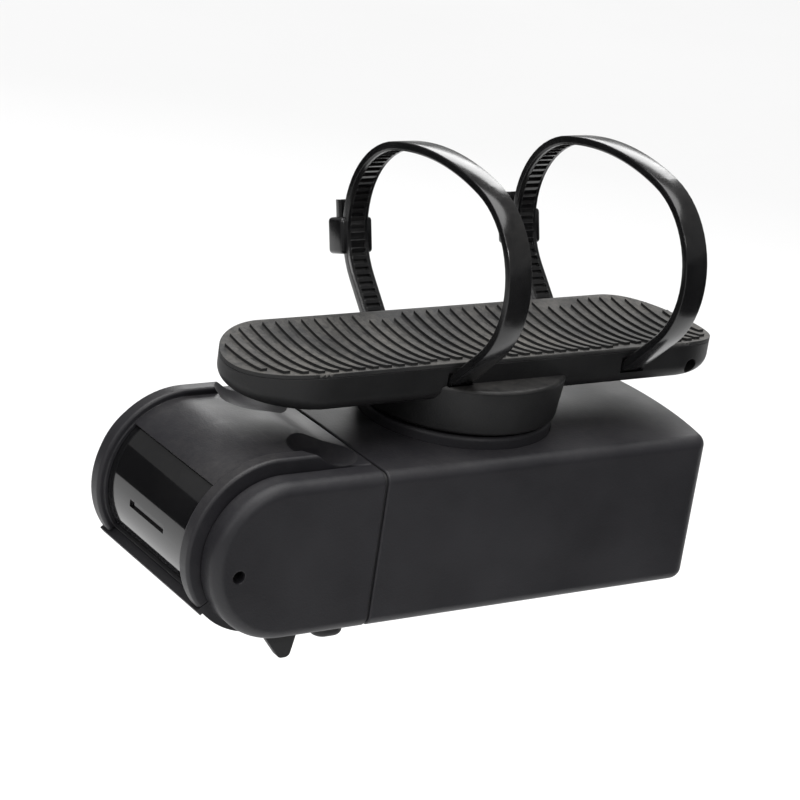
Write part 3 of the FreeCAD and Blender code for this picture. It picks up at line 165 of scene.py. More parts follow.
def moulding_grain():
    """The pebbled skin that a spark-eroded mould leaves: a height for bump, and a slow change of tone."""
    group, given, result = shader_group(
        "moulding grain",
        [("Vector", "NodeSocketVector", None), ("Grain Size", "NodeSocketFloat", 0.0003),
         ("Patch Size", "NodeSocketFloat", 0.012)],
        [("Height", "NodeSocketFloat"), ("Tone", "NodeSocketFloat")],
    )
    grain_scale = maths(group, "DIVIDE", 1.0, given.outputs["Grain Size"])
    pebbles = add(group, "ShaderNodeTexVoronoi", {"Vector": given.outputs["Vector"], "Scale": grain_scale},
                  feature="SMOOTH_F1")
    fine_scale = maths(group, "MULTIPLY", grain_scale, 0.45)
    fine = add(group, "ShaderNodeTexNoise", {"Vector": given.outputs["Vector"], "Scale": fine_scale,
                                             "Detail": 4.0, "Roughness": 0.6})
    height = maths(group, "MULTIPLY_ADD", fine.outputs["Fac"], 1.4, pebbles.outputs["Distance"])
    patch_scale = maths(group, "DIVIDE", 1.0, given.outputs["Patch Size"])
    patches = add(group, "ShaderNodeTexNoise", {"Vector": given.outputs["Vector"], "Scale": patch_scale,
                                                "Detail": 3.0, "Roughness": 0.55})
    group.links.new(height, result.inputs["Height"])
    group.links.new(patches.outputs["Fac"], result.inputs["Tone"])
    return group


def handling_scuffs():
    """Hair-fine rubbed lines in two directions, strongest in a few patches."""
    group, given, result = shader_group(
        "handling scuffs",
        [("Vector", "NodeSocketVector", None), ("Length", "NodeSocketFloat", 0.012),
         ("Amount", "NodeSocketFloat", 0.5)],
        [("Mask", "NodeSocketFloat")],
    )
    along = maths(group, "DIVIDE", 1.0, given.outputs["Length"])
    lines = []
    for turn, stretch in ((0.45, (1.0, 26.0, 26.0)), (-0.7, (26.0, 1.0, 22.0))):
        turned = add(group, "ShaderNodeMapping", {"Vector": given.outputs["Vector"],
                                                  "Rotation": (turn, 0.3, turn), "Scale": stretch})
        noise = add(group, "ShaderNodeTexNoise", {"Vector": turned.outputs[0], "Scale": along,
                                                  "Detail": 3.0, "Roughness": 0.7})
        cut = add(group, "ShaderNodeMapRange", {"Value": noise.outputs["Fac"], "From Min": 0.58, "From Max": 0.72})
        lines.append(cut.outputs[0])
    both = maths(group, "MAXIMUM", lines[0], lines[1])
    patch = add(group, "ShaderNodeTexNoise", {"Vector": given.outputs["Vector"], "Scale": 95.0, "Detail": 2.0})
    where = add(group, "ShaderNodeMapRange", {"Value": patch.outputs["Fac"], "From Min": 0.42, "From Max": 0.66})
    masked = maths(group, "MULTIPLY", both, where.outputs[0])
    group.links.new(maths(group, "MULTIPLY", masked, given.outputs["Amount"]), result.inputs["Mask"])
    return group


def worn_edges():
    """Where an outer edge is: rounded normals for a soft edge, and a mask that breaks up along it."""
    group, given, result = shader_group(
        "worn edges",
        [("Vector", "NodeSocketVector", None), ("Radius", "NodeSocketFloat", 0.0002),
         ("Amount", "NodeSocketFloat", 0.5)],
        [("Mask", "NodeSocketFloat"), ("Normal", "NodeSocketVector")],
    )
    rounded = add(group, "ShaderNodeBevel", {"Radius": given.outputs["Radius"]}, samples=4)
    flat = add(group, "ShaderNodeNewGeometry")
    same = add(group, "ShaderNodeVectorMath", {0: rounded.outputs[0], 1: flat.outputs["Normal"]},
               operation="DOT_PRODUCT")
    edge = add(group, "ShaderNodeMapRange", {"Value": same.outputs["Value"], "From Min": 0.995, "From Max": 0.86})
    noise = add(group, "ShaderNodeTexNoise", {"Vector": given.outputs["Vector"], "Scale": 620.0, "Detail": 4.0})
    broken = add(group, "ShaderNodeMapRange", {"Value": noise.outputs["Fac"], "From Min": 0.38, "From Max": 0.62})
    mask = maths(group, "MULTIPLY", edge.outputs[0], broken.outputs[0])
    group.links.new(maths(group, "MULTIPLY", mask, given.outputs["Amount"]), result.inputs["Mask"])
    group.links.new(rounded.outputs[0], result.inputs["Normal"])
    return group


def road_dust():
    """Pale dust that has settled on what faces up."""
    group, given, result = shader_group(
        "road dust",
        [("Vector", "NodeSocketVector", None), ("Amount", "NodeSocketFloat", 0.3)],
        [("Mask", "NodeSocketFloat")],
    )
    flat = add(group, "ShaderNodeNewGeometry")
    split = add(group, "ShaderNodeSeparateXYZ", {0: flat.outputs["Normal"]})
    up = add(group, "ShaderNodeMapRange", {"Value": split.outputs["Z"], "From Min": 0.1, "From Max": 1.0})
    specks = add(group, "ShaderNodeTexNoise", {"Vector": given.outputs["Vector"], "Scale": 900.0, "Detail": 5.0,
                                               "Roughness": 0.75})
    clouds = add(group, "ShaderNodeTexNoise", {"Vector": given.outputs["Vector"], "Scale": 70.0, "Detail": 3.0})
    thick = maths(group, "MULTIPLY", specks.outputs["Fac"], clouds.outputs["Fac"])
    shown = add(group, "ShaderNodeMapRange", {"Value": thick, "From Min": 0.16, "From Max": 0.42})
    mask = maths(group, "MULTIPLY", shown.outputs[0], up.outputs[0])
    group.links.new(maths(group, "MULTIPLY", mask, given.outputs["Amount"]), result.inputs["Mask"])
    return group


GRAIN = moulding_grain()
SCUFFS = handling_scuffs()
EDGES = worn_edges()
DUST = road_dust()


def placed(tree, group, vector, **values):
    made = tree.nodes.new("ShaderNodeGroup")
    made.node_tree = group
    tree.links.new(vector, made.inputs["Vector"])
    for key, value in values.items():
        made.inputs[key.replace("_", " ")].default_value = value
    return made


def mixed(tree, share, first, second):
    made = add(tree, "ShaderNodeMix", {"Factor": share, 6: first, 7: second}, data_type="RGBA")
    return made.outputs[2]


def surface(name, dark, light, rough, grain=0.0003, depth=0.00002, patch=0.012, scuff=0.4, edge=0.0002,
            wear=0.4, worn=(0.10, 0.10, 0.105), dust=0.0, dust_tone=(0.33, 0.31, 0.28), **fixed):
    """A material that shades from dark to light in patches, with grain, scuffs, worn edges and dust.
    rough is its lowest and highest roughness; fixed holds plain values for the shader's own sockets."""
    material = bpy.data.materials.new(name)
    material.use_nodes = True
    tree = material.node_tree
    tree.nodes.clear()
    place = add(tree, "ShaderNodeTexCoord").outputs["Object"]
    skin = placed(tree, GRAIN, place, Grain_Size=grain, Patch_Size=patch)
    rubbed = placed(tree, SCUFFS, place, Amount=scuff)
    rim = placed(tree, EDGES, place, Radius=edge, Amount=wear)
    tone = add(tree, "ShaderNodeMapRange", {"Value": skin.outputs["Tone"], "From Min": 0.3, "From Max": 0.7})
    colour = mixed(tree, tone.outputs[0], (*dark, 1.0), (*light, 1.0))
    colour = mixed(tree, rim.outputs["Mask"], colour, (*worn, 1.0))
    roughness = add(tree, "ShaderNodeMapRange", {"Value": skin.outputs["Tone"], "From Min": 0.3,
                                                 "From Max": 0.7, "To Min": rough[0], "To Max": rough[1]})
    roughness = maths(tree, "MULTIPLY_ADD", rubbed.outputs["Mask"], -0.18, roughness.outputs[0])
    if dust:
        settled = placed(tree, DUST, place, Amount=dust)
        colour = mixed(tree, settled.outputs["Mask"], colour, (*dust_tone, 1.0))
        roughness = maths(tree, "MULTIPLY_ADD", settled.outputs["Mask"], 0.3, roughness)
    height = maths(tree, "MULTIPLY_ADD", rubbed.outputs["Mask"], -0.4, skin.outputs["Height"])
    bump = add(tree, "ShaderNodeBump", {"Height": height, "Distance": depth, "Strength": 0.6,
                                        "Normal": rim.outputs["Normal"]})
    shader = add(tree, "ShaderNodeBsdfPrincipled", {"Base Color": colour, "Roughness": roughness,
                                                    "Normal": bump.outputs[0]})
    for key, value in fixed.items():
        shader.inputs[key.replace("_", " ")].default_value = value
    output = add(tree, "ShaderNodeOutputMaterial", {"Surface": shader.outputs[0]})
    output.target = "ALL"
    return material


def wrapped_path(circles, steps):
    """Points of a tight loop round circles (y, z, radius), with the outward direction at each."""
    leans = []
    for i, (y0, z0, r0) in enumerate(circles):
        y1, z1, r1 = circles[(i + 1) % len(circles)]
        gap = math.hypot(y1 - y0, z1 - z0)
        leans.append(math.atan2(z1 - z0, y1 - y0) - math.acos(max(-1.0, min(1.0, (r0 - r1) / gap))))
    path = []
    for i, (y, z, radius) in enumerate(circles):
        sweep = (leans[i] - leans[i - 1]) % (2 * math.pi)
        for step in range(steps + 1):
            angle = leans[i - 1] + sweep * step / steps
            out = (math.cos(angle), math.sin(angle))
            path.append((y + radius * out[0], z + radius * out[1], out))
    return path


def strap_section():
    """Cross-section of the strap, as (across, outward) pairs, with its track on the inner face."""
    half = TIE_WIDTH / 2
    track = TRACK_WIDTH / 2
    outer = TIE_THICKNESS
    return [(-half, TIE_EDGE), (-half, outer - TIE_EDGE), (-half + TIE_EDGE * EDGE_CUT, outer - TIE_EDGE * EDGE_CUT),
            (-half + TIE_EDGE, outer), (half - TIE_EDGE, outer),
            (half - TIE_EDGE * EDGE_CUT, outer - TIE_EDGE * EDGE_CUT), (half, outer - TIE_EDGE), (half, TIE_EDGE),
            (half - TIE_EDGE, 0), (track, 0), (track, TRACK_DEPTH), (-track, TRACK_DEPTH), (-track, 0),
            (-half + TIE_EDGE, 0)]


def strap_mesh(name, path, centre_x, closed=True):
    section = strap_section()
    points = [(centre_x + across, y + out[0] * lift, z + out[1] * lift)
              for y, z, out in path for across, lift in section]
    size = len(section)
    faces = []
    for ring in range(len(path) if closed else len(path) - 1):
        here = ring * size
        there = (ring + 1) % len(path) * size
        for i in range(size):
            j = (i + 1) % size
            faces.append((here + i, there + i, there + j, here + j))
    if not closed:
        faces.append(tuple(range(size)))
        faces.append(tuple(reversed(range(len(points) - size, len(points)))))
    return mesh_from(name, points, faces)


def closed_up(mesh):
    """Merges doubled points and turns every face outwards."""
    work = bmesh.new()
    work.from_mesh(mesh)
    bmesh.ops.remove_doubles(work, verts=work.verts, dist=MERGE_MM * MM)
    bmesh.ops.recalc_face_normals(work, faces=work.faces)
    work.to_mesh(mesh)
    work.free()
    return mesh


def united(name, meshes):
    work = bmesh.new()
    for mesh in meshes:
        work.from_mesh(mesh)
    whole = bpy.data.meshes.new(name)
    work.to_mesh(whole)
    work.free()
    return whole


def slab(name, x0, x1, y0, y1, z0, z1):
    """An eight-cornered block, which its edges' bevel or a cut then shapes."""
    points = [(x, y, z) for x in (x0, x1) for y in (y0, y1) for z in (z0, z1)]
    faces = [(0, 1, 3, 2), (4, 6, 7, 5), (0, 4, 5, 1), (2, 3, 7, 6), (0, 2, 6, 4), (1, 5, 7, 3)]
    return closed_up(mesh_from(name, points, faces))


def cut_away(shape, tool):
    cut = shape.modifiers.new("cut", "BOOLEAN")
    cut.operation = "DIFFERENCE"
    cut.solver = "EXACT"
    cut.object = tool
    evaluated(shape)
    bpy.data.objects.remove(tool)


def geometry_group(name, inputs):
    """A geometry node group with Geometry in and out, and the named inputs (name, kind)."""
    group = bpy.data.node_groups.new(name, "GeometryNodeTree")
    group.interface.new_socket("Geometry", in_out="INPUT", socket_type="NodeSocketGeometry")
    for socket_name, kind in inputs:
        group.interface.new_socket(socket_name, in_out="INPUT", socket_type=kind)
    group.interface.new_socket("Geometry", in_out="OUTPUT", socket_type="NodeSocketGeometry")
    return group, group.nodes.new("NodeGroupInput"), group.nodes.new("NodeGroupOutput")


def grown(shape, group, **values):
    """Runs a geometry node group on the shape, with its inputs set by name, and keeps the result."""
    modifier = shape.modifiers.new(group.name, "NODES")
    modifier.node_group = group
    for item in group.interface.items_tree:
        key = item.name.replace(" ", "_")
        if item.item_type == "SOCKET" and item.in_out == "INPUT" and key in values:
            modifier[item.identifier] = values[key]
    return evaluated(shape)


def tooth_ladder():
    """Wedge-shaped teeth at an even pitch along a loop, tilted against the pull of the strap."""
    group, given, result = geometry_group(
        "tooth ladder",
        [("Pitch", "NodeSocketFloat"), ("Width", "NodeSocketFloat"), ("Length", "NodeSocketFloat"),
         ("Height", "NodeSocketFloat"), ("Tilt", "NodeSocketFloat"), ("Material", "NodeSocketMaterial")],
    )
    path = add(group, "GeometryNodeMeshToCurve", {"Mesh": given.outputs["Geometry"]})
    stops = add(group, "GeometryNodeResampleCurve", {"Curve": path.outputs[0], "Length": given.outputs["Pitch"]},
                mode="LENGTH")
    along = add(group, "GeometryNodeInputTangent")
    outward = add(group, "ShaderNodeVectorMath", {0: along.outputs[0], 1: (1.0, 0.0, 0.0)},
                  operation="CROSS_PRODUCT")
    turn = add(group, "FunctionNodeAxesToRotation",
               {"Primary Axis": outward.outputs[0], "Secondary Axis": along.outputs[0]},
               primary_axis="Z", secondary_axis="Y")
    size = add(group, "ShaderNodeCombineXYZ", {0: given.outputs["Width"], 1: given.outputs["Length"],
                                               2: given.outputs["Height"]})
    block = add(group, "GeometryNodeMeshCube", {"Size": size.outputs[0]})
    lean = add(group, "ShaderNodeCombineXYZ", {0: given.outputs["Tilt"]})
    tooth = add(group, "GeometryNodeTransform", {"Geometry": block.outputs["Mesh"], "Rotation": lean.outputs[0]})
    teeth = add(group, "GeometryNodeInstanceOnPoints", {"Points": stops.outputs[0], "Instance": tooth.outputs[0],
                                                        "Rotation": turn.outputs[0]})
    plain = add(group, "GeometryNodeRealizeInstances", {"Geometry": teeth.outputs[0]})
    done = add(group, "GeometryNodeSetMaterial", {"Geometry": plain.outputs[0],
                                                  "Material": given.outputs["Material"]})
    group.links.new(done.outputs[0], result.inputs[0])
    return group


tie_nylon = surface("gloss black nylon", (0.004, 0.004, 0.0045), (0.009, 0.009, 0.0095), (0.14, 0.26),
                    grain=0.0011, depth=0.000006, patch=0.006, scuff=0.7, edge=0.00015, wear=0.25,
                    worn=(0.03, 0.03, 0.031), dust=0.05, Specular_IOR_Level=0.55)
LADDER = tooth_ladder()
TOOTH_TILT = 0.22


def tie_head(name, centre_x):
    inner = TUBE_SIDE_RADIUS
    head = new_object(name, slab(name, centre_x - HEAD_WIDTH / 2, centre_x + HEAD_WIDTH / 2, inner + 0.02,
                                 inner + HEAD_HEIGHT, -HEAD_LENGTH / 2, HEAD_LENGTH / 2))
    softened(head, HEAD_EDGE, segments=4)
    slot_low = inner + TIE_THICKNESS + TAIL_GAP / 2
    tool = new_object("slot", slab("slot", centre_x - SLOT_WIDTH / 2, centre_x + SLOT_WIDTH / 2, slot_low,
                                   slot_low + SLOT_HEIGHT, -HEAD_LENGTH, HEAD_LENGTH))
    cut_away(head, tool)
    mesh = head.data
    bpy.data.objects.remove(head)
    return mesh


def tie_tail(name, centre_x):
    """The trimmed end of the strap, which goes through the head with its teeth towards the tube."""
    lift = TUBE_SIDE_RADIUS + TAIL_GAP + TIE_THICKNESS
    run = [(lift, z, (1.0, 0.0)) for z in (-HEAD_LENGTH / 2 - TAIL_LENGTH, 0.0, HEAD_LENGTH / 2 - 0.4)]
    return closed_up(strap_mesh(name, run, centre_x, closed=False))


for node, centre_x in TIE_CENTRES.items():
    loop = wrapped_path([(TUBE_SIDE_Y, 0, TUBE_SIDE_RADIUS), (0, -TUBE_CROWN_DROP, TUBE_CROWN_RADIUS),
                         (-TUBE_SIDE_Y, 0, TUBE_SIDE_RADIUS), (-TIE_FLOOR_Y, TIE_FLOOR_Z, TIE_CORNER_RADIUS),
                         (TIE_FLOOR_Y, TIE_FLOOR_Z, TIE_CORNER_RADIUS)], ARC_STEPS)
    strap = closed_up(strap_mesh(node + "_strap", loop, centre_x))
    track = [(centre_x, y + out[0] * TRACK_DEPTH / 2, z + out[1] * TRACK_DEPTH / 2) for y, z, out in loop]
    ring = bpy.data.meshes.new(node + "_track")
    ring.from_pydata([Vector(p) * MM for p in track], [(i, (i + 1) % len(track)) for i in range(len(track))], [])
    ladder = new_object(node + "_ladder", ring)
    grown(ladder, LADDER, Pitch=TOOTH_PITCH * MM, Width=(TRACK_WIDTH + 0.1) * MM, Length=TOOTH_LENGTH * MM,
          Height=TRACK_DEPTH * MM, Tilt=TOOTH_TILT, Material=tie_nylon)
    end = united(node + "_end", [tie_head(node + "_head", centre_x), tie_tail(node + "_tail", centre_x)])
    end.transform(Matrix.Translation((0, -TUBE_SIDE_Y * MM, 0)) @ Matrix.Rotation(math.radians(HEAD_ANGLE), 4, "X"))
    tie = new_object(node + "_visual", united(node + "_visual", [strap, ladder.data, end]))
    bpy.data.objects.remove(ladder)
    smooth(tie.data)
    paint(tie, tie_nylon)
    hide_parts(node)
    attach(tie, "mount")

# ---- Saddle ----
# The long shoe under the tube, one moulding in black glass-filled nylon. The ties run through tunnels
# under its bridge, a rubber pad lines its hollow top, and two brass inserts take the hub's screws.
SMOOTH_ANGLE = 32.0


def carried(node, sharp=SMOOTH_ANGLE):
    """The CAD piece's own form as one joined skin with smooth shading."""
    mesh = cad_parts[node].data.copy()
    mesh.name = node + "_visual"
    shape = new_object(node + "_visual", closed_form(mesh, flatten=False))
    smooth(shape.data, sharp)
    even_light(shape.data, sharp)
    return shape


def even_light(mesh, sharp):
    """Each corner takes the mean direction, by area, of the faces round it that turn by less than sharp."""
    around = [[] for _ in mesh.vertices]
    for face in mesh.polygons:
        for index in face.vertices:
            around[index].append((face.normal.copy(), face.area))
    nearly = math.cos(math.radians(sharp))
    corners = []
    for face in mesh.polygons:
        for index in face.vertices:
            mean = Vector()
            for normal, area in around[index]:
                if normal.dot(face.normal) > nearly:
                    mean += normal * area
            corners.append(mean.normalized() if mean.length > 0 else face.normal.copy())
    mesh.normals_split_custom_set(corners)


def closed_form(mesh, flatten=True):
    """Joins loose triangles, and can let flat areas be one face each."""
    work = bmesh.new()
    work.from_mesh(mesh)
    bmesh.ops.remove_doubles(work, verts=work.verts, dist=MERGE_MM * MM)
    if flatten:
        bmesh.ops.dissolve_limit(work, angle_limit=math.radians(FLAT_ANGLE), verts=work.verts, edges=work.edges)
    work.to_mesh(mesh)
    work.free()
    return mesh


def finished(shape, node, material, body):
    paint(shape, material)
    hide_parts(node)
    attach(shape, body)


mount_nylon = surface("black glass-filled nylon", (0.008, 0.008, 0.0085), (0.014, 0.014, 0.0145), (0.42, 0.56),
                      grain=0.00024, depth=0.00002, patch=0.009, scuff=0.5, edge=0.0002, wear=0.35,
                      worn=(0.05, 0.05, 0.052), dust=0.09, Specular_IOR_Level=0.35)
finished(carried("mount_saddle"), "mount_saddle", mount_nylon, "mount")

# ---- Saddle pad ----
# Black rubber liner, bonded into the saddle's hollow top. Low grip ribs run across it, so that it
# bites on tubes of different widths. It is cut away at its edges where the ties leave the saddle.
PAD_HALF_WIDTH = 10.0
PAD_FRONT = 36.5
PAD_REAR = -40.0
RIB_HEIGHT = 0.4
RIB_WIDTH = 0.9
RIB_PITCH = 2.0
RIB_MARGIN = 1.1
RIB_SHORT_HALF = 7.6
RIB_SHORT_NEAR = 2.9
RIB_SINK = 0.15


def pad_base():
    """The pad with its seat lowered by the height of the ribs."""
    mesh = closed_form(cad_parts["saddle_pad"].data.copy())
    crown = Vector((0, 0, TUBE_CROWN_DROP * MM))
    seat = (TUBE_CROWN_RADIUS + RIB_HEIGHT) * MM
    for vertex in mesh.vertices:
        out = Vector((0, vertex.co.y, vertex.co.z)) - crown
        if out.length < seat:
            vertex.co.z = crown.z - math.sqrt(seat ** 2 - vertex.co.y ** 2)
    return mesh


def grip_ribs():
    """Ribs across the pad, each as long as the pad's outline is wide there, laid on the tube's curve."""
    group, given, result = geometry_group(
        "grip ribs",
        [("Count", "NodeSocketInt"), ("Pitch", "NodeSocketFloat"), ("Width", "NodeSocketFloat"),
         ("Height", "NodeSocketFloat"), ("Half Length", "NodeSocketFloat"), ("Rear", "NodeSocketFloat"),
         ("Front", "NodeSocketFloat"), ("Tie Front", "NodeSocketFloat"), ("Tie Rear", "NodeSocketFloat"),
         ("Tie Reach", "NodeSocketFloat"), ("Short Half", "NodeSocketFloat"),
         ("Curve Radius", "NodeSocketFloat"), ("Curve Drop", "NodeSocketFloat"),
         ("Material", "NodeSocketMaterial")],
    )
    first = maths(group, "MULTIPLY_ADD", given.outputs["Pitch"], 0.5, given.outputs["Rear"])
    start = add(group, "ShaderNodeCombineXYZ", {0: first})
    step = add(group, "ShaderNodeCombineXYZ", {0: given.outputs["Pitch"]})
    row = add(group, "GeometryNodeMeshLine", {"Count": given.outputs["Count"], "Start Location": start.outputs[0],
                                              "Offset": step.outputs[0]}, mode="OFFSET")
    here = add(group, "ShaderNodeSeparateXYZ", {0: add(group, "GeometryNodeInputPosition").outputs[0]})
    x = here.outputs["X"]
    half = given.outputs["Half Length"]
    from_rear = maths(group, "SUBTRACT", maths(group, "ADD", given.outputs["Rear"], half), x)
    from_front = maths(group, "SUBTRACT", x, maths(group, "SUBTRACT", given.outputs["Front"], half))
    past = maths(group, "MAXIMUM", maths(group, "MAXIMUM", from_rear, from_front), 0.0)
    square = maths(group, "SUBTRACT", maths(group, "MULTIPLY", half, half), maths(group, "MULTIPLY", past, past))
    reach = maths(group, "SQRT", maths(group, "MAXIMUM", square, 0.0))
    to_front_tie = maths(group, "ABSOLUTE", maths(group, "SUBTRACT", x, given.outputs["Tie Front"]))
    to_rear_tie = maths(group, "ABSOLUTE", maths(group, "SUBTRACT", x, given.outputs["Tie Rear"]))
    near_tie = maths(group, "LESS_THAN", maths(group, "MINIMUM", to_front_tie, to_rear_tie),
                     given.outputs["Tie Reach"])
    limit = maths(group, "SUBTRACT", 1.0, near_tie)
    limit = maths(group, "ADD", limit, maths(group, "MULTIPLY", near_tie, given.outputs["Short Half"]))
    reach = maths(group, "MINIMUM", reach, limit)
    size = add(group, "ShaderNodeCombineXYZ", {0: given.outputs["Width"], 1: 2.0, 2: given.outputs["Height"]})
    bar = add(group, "GeometryNodeMeshCube", {"Size": size.outputs[0], "Vertices Y": 15})
    scale = add(group, "ShaderNodeCombineXYZ", {0: 1.0, 1: reach, 2: 1.0})
    ribs = add(group, "GeometryNodeInstanceOnPoints", {"Points": row.outputs[0], "Instance": bar.outputs["Mesh"],
                                                       "Scale": scale.outputs[0]})
    plain = add(group, "GeometryNodeRealizeInstances", {"Geometry": ribs.outputs[0]})
    spot = add(group, "ShaderNodeSeparateXYZ", {0: add(group, "GeometryNodeInputPosition").outputs[0]})
    side = maths(group, "MULTIPLY", spot.outputs["Y"], spot.outputs["Y"])
    radius = given.outputs["Curve Radius"]
    drop = maths(group, "SQRT", maths(group, "SUBTRACT", maths(group, "MULTIPLY", radius, radius), side))
    down = maths(group, "SUBTRACT", given.outputs["Curve Drop"], drop)
    shift = add(group, "ShaderNodeCombineXYZ", {2: down})
    bent = add(group, "GeometryNodeSetPosition", {"Geometry": plain.outputs[0], "Offset": shift.outputs[0]})
    done = add(group, "GeometryNodeSetMaterial", {"Geometry": bent.outputs[0],
                                                  "Material": given.outputs["Material"]})
    group.links.new(done.outputs[0], result.inputs[0])
    return group


pad_rubber = surface("ribbed black rubber", (0.010, 0.010, 0.0105), (0.020, 0.020, 0.020), (0.62, 0.78),
                     grain=0.00018, depth=0.000025, patch=0.006, scuff=0.25, edge=0.00015, wear=0.2,
                     worn=(0.045, 0.045, 0.045), dust=0.35)
row = new_object("rib_row", mesh_from("rib_row", [(0, 0, 0)], []))
rib_rear = PAD_REAR + RIB_MARGIN
rib_front = PAD_FRONT - RIB_MARGIN
rib_count = int((rib_front - rib_rear) / RIB_PITCH)
grown(row, grip_ribs(), Count=rib_count, Pitch=RIB_PITCH * MM, Width=RIB_WIDTH * MM,
      Height=(RIB_HEIGHT + RIB_SINK) * MM, Half_Length=(PAD_HALF_WIDTH - RIB_MARGIN) * MM, Rear=rib_rear * MM,
      Front=rib_front * MM, Tie_Front=TIE_CENTRES["cable_tie_front"] * MM,
      Tie_Rear=TIE_CENTRES["cable_tie_rear"] * MM, Tie_Reach=RIB_SHORT_NEAR * MM,
      Short_Half=RIB_SHORT_HALF * MM, Curve_Radius=(TUBE_CROWN_RADIUS + RIB_HEIGHT / 2 + RIB_SINK / 2) * MM,
      Curve_Drop=TUBE_CROWN_DROP * MM, Material=pad_rubber)
pad = new_object("saddle_pad_visual", united("saddle_pad_visual", [pad_base(), row.data]))
bpy.data.objects.remove(row)
smooth(pad.data)
finished(pad, "saddle_pad", pad_rubber, "mount")

# ---- Inserts and hub screws ----
# Two knurled brass inserts are pressed into the saddle from below, and two stainless screws come up
# through the hub into them.
brass = surface("knurled brass", (0.5, 0.34, 0.12), (0.62, 0.44, 0.18), (0.25, 0.4), grain=0.0004,
                depth=0.00003, scuff=0.6, worn=(0.75, 0.6, 0.3), Metallic=1.0)
steel = surface("turned stainless steel", (0.42, 0.42, 0.43), (0.56, 0.56, 0.57), (0.22, 0.38), grain=0.0002,
                depth=0.000008, scuff=0.8, worn=(0.75, 0.75, 0.76), Metallic=1.0)
paint(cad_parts["saddle_inserts"], brass)
paint(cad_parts["hub_screws"], steel)

# ---- Hub ----
# The round foot that is screwed under the saddle: a flared disc, and under it a boss with two lugs
# that turn and lock inside the ring. Moulded in the same nylon as the saddle.
finished(carried("mount_hub"), "mount_hub", mount_nylon, "mount")

# ---- Lock ring, its screws and its seal ----
# The ring is sunk into the top of the rear box and held from inside by four small screws. Two notches
# let the hub's lugs in, and a quarter turn slides them under its lip. A rubber ring seals below it.
case_plastic = surface("dark grey moulded case", (0.0150, 0.0145, 0.0172), (0.0215, 0.0208, 0.0243), (0.44, 0.56),
                       grain=0.00026, depth=0.000022, patch=0.014, scuff=0.45, edge=0.00022, wear=0.3,
                       worn=(0.075, 0.075, 0.08), dust=0.04, Specular_IOR_Level=0.38)
seal_rubber = surface("black silicone rubber", (0.010, 0.010, 0.011), (0.017, 0.017, 0.018), (0.55, 0.7),
                      grain=0.0002, depth=0.00001, scuff=0.2, wear=0.15, worn=(0.04, 0.04, 0.04), dust=0.1)
finished(carried("lock_ring"), "lock_ring", case_plastic, "unit")
paint(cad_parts["lock_ring_screws"], steel)
paint(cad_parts["lock_seal"], seal_rubber)

# ---- Rear box and seam gasket ----
# The main housing, one deep moulding in dark grey plastic with a spark-eroded skin and a slightly
# bowed back. It is open at the front, where a thin rubber gasket seals it against the nose.
finished(carried("rear_case"), "rear_case", case_plastic, "unit")
finished(carried("seam_gasket"), "seam_gasket", seal_rubber, "unit")

# ---- Nose case and its screws ----
# The front housing: two rounded cheeks with a floor and a chin between them, in the same plastic.
# Four long screws inside it pull it and the gasket back onto the rear box.
finished(carried("nose_case"), "nose_case", case_plastic, "unit")
paint(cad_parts["case_screws"], steel)

# ---- Nose cover ----
# The curved cap between the cheeks. Two rounded rims run over it from the top down to the chin, with a
# lower band between them, a finger pocket by each rim, and the opening for the window in front.
cover_plastic = surface("dark grey cover", (0.0140, 0.0135, 0.0160), (0.0215, 0.0208, 0.0240), (0.36, 0.48),
                        grain=0.00022, depth=0.000016, patch=0.010, scuff=0.6, edge=0.00022, wear=0.35,
                        worn=(0.07, 0.07, 0.074), dust=0.07, Specular_IOR_Level=0.36)
finished(carried("nose_cover"), "nose_cover", cover_plastic, "unit")

# ---- Front window and its gasket ----
# A curved pane of glossy black plastic, clear only to infrared, set flush between the rims on a foam
# gasket. One short slot runs across the middle of it.
window_black = surface("glossy black window", (0.004, 0.004, 0.0045), (0.007, 0.007, 0.008), (0.05, 0.12),
                       grain=0.002, depth=0.000002, patch=0.02, scuff=0.5, edge=0.0001, wear=0.1,
                       worn=(0.03, 0.03, 0.032), dust=0.03, Specular_IOR_Level=0.5, Coat_Weight=0.3,
                       Coat_Roughness=0.04)
foam = surface("grey closed-cell foam", (0.07, 0.07, 0.07), (0.12, 0.12, 0.12), (0.8, 0.95), grain=0.0003,
               depth=0.0001, scuff=0.0, wear=0.0)
finished(carried("front_window"), "front_window", window_black, "unit")
paint(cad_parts["window_gasket"], foam)

# ---- Cover pins ----
# A steel pin through each cheek holds the cover's ear. Its end is set back in a small dark hole.
dark_pin = surface("blackened steel pin", (0.02, 0.02, 0.02), (0.05, 0.05, 0.05), (0.3, 0.45), grain=0.0003,
                   depth=0.000006, scuff=0.5, Metallic=1.0)
paint(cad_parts["cover_pins"], dark_pin)

# ---- Power button, its seal and its switch ----
# An oval rubber button stands out under the nose beside the seam. Its stem goes up through a seal
# ring to a tact switch on the small board.
finished(carried("power_button"), "power_button", seal_rubber, "button")
paint(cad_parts["button_seal"], seal_rubber)
chip_black = surface("black epoxy", (0.010, 0.010, 0.010), (0.022, 0.022, 0.022), (0.45, 0.6), grain=0.00015,
                     depth=0.000008, scuff=0.2, wear=0.1)
paint(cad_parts["dome_switch"], chip_black)

# ---- Port flap and its pin ----
# A rubber flap closes the charge port under the nose. It swings on a thin steel pin, and a fin at its
# free end gives the finger something to pull.
finished(carried("port_flap"), "port_flap", seal_rubber, "flap")
paint(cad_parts["flap_pin"], steel)

# ---- Charge socket and small board ----
# The socket's steel shell stands on a small green board, which two tiny screws hold to posts on the
# nose's floor. The button's switch hangs under the same board.
BOARD_TRACE_SPACING = 0.0009
BOARD_TRACE_EDGE = 0.42


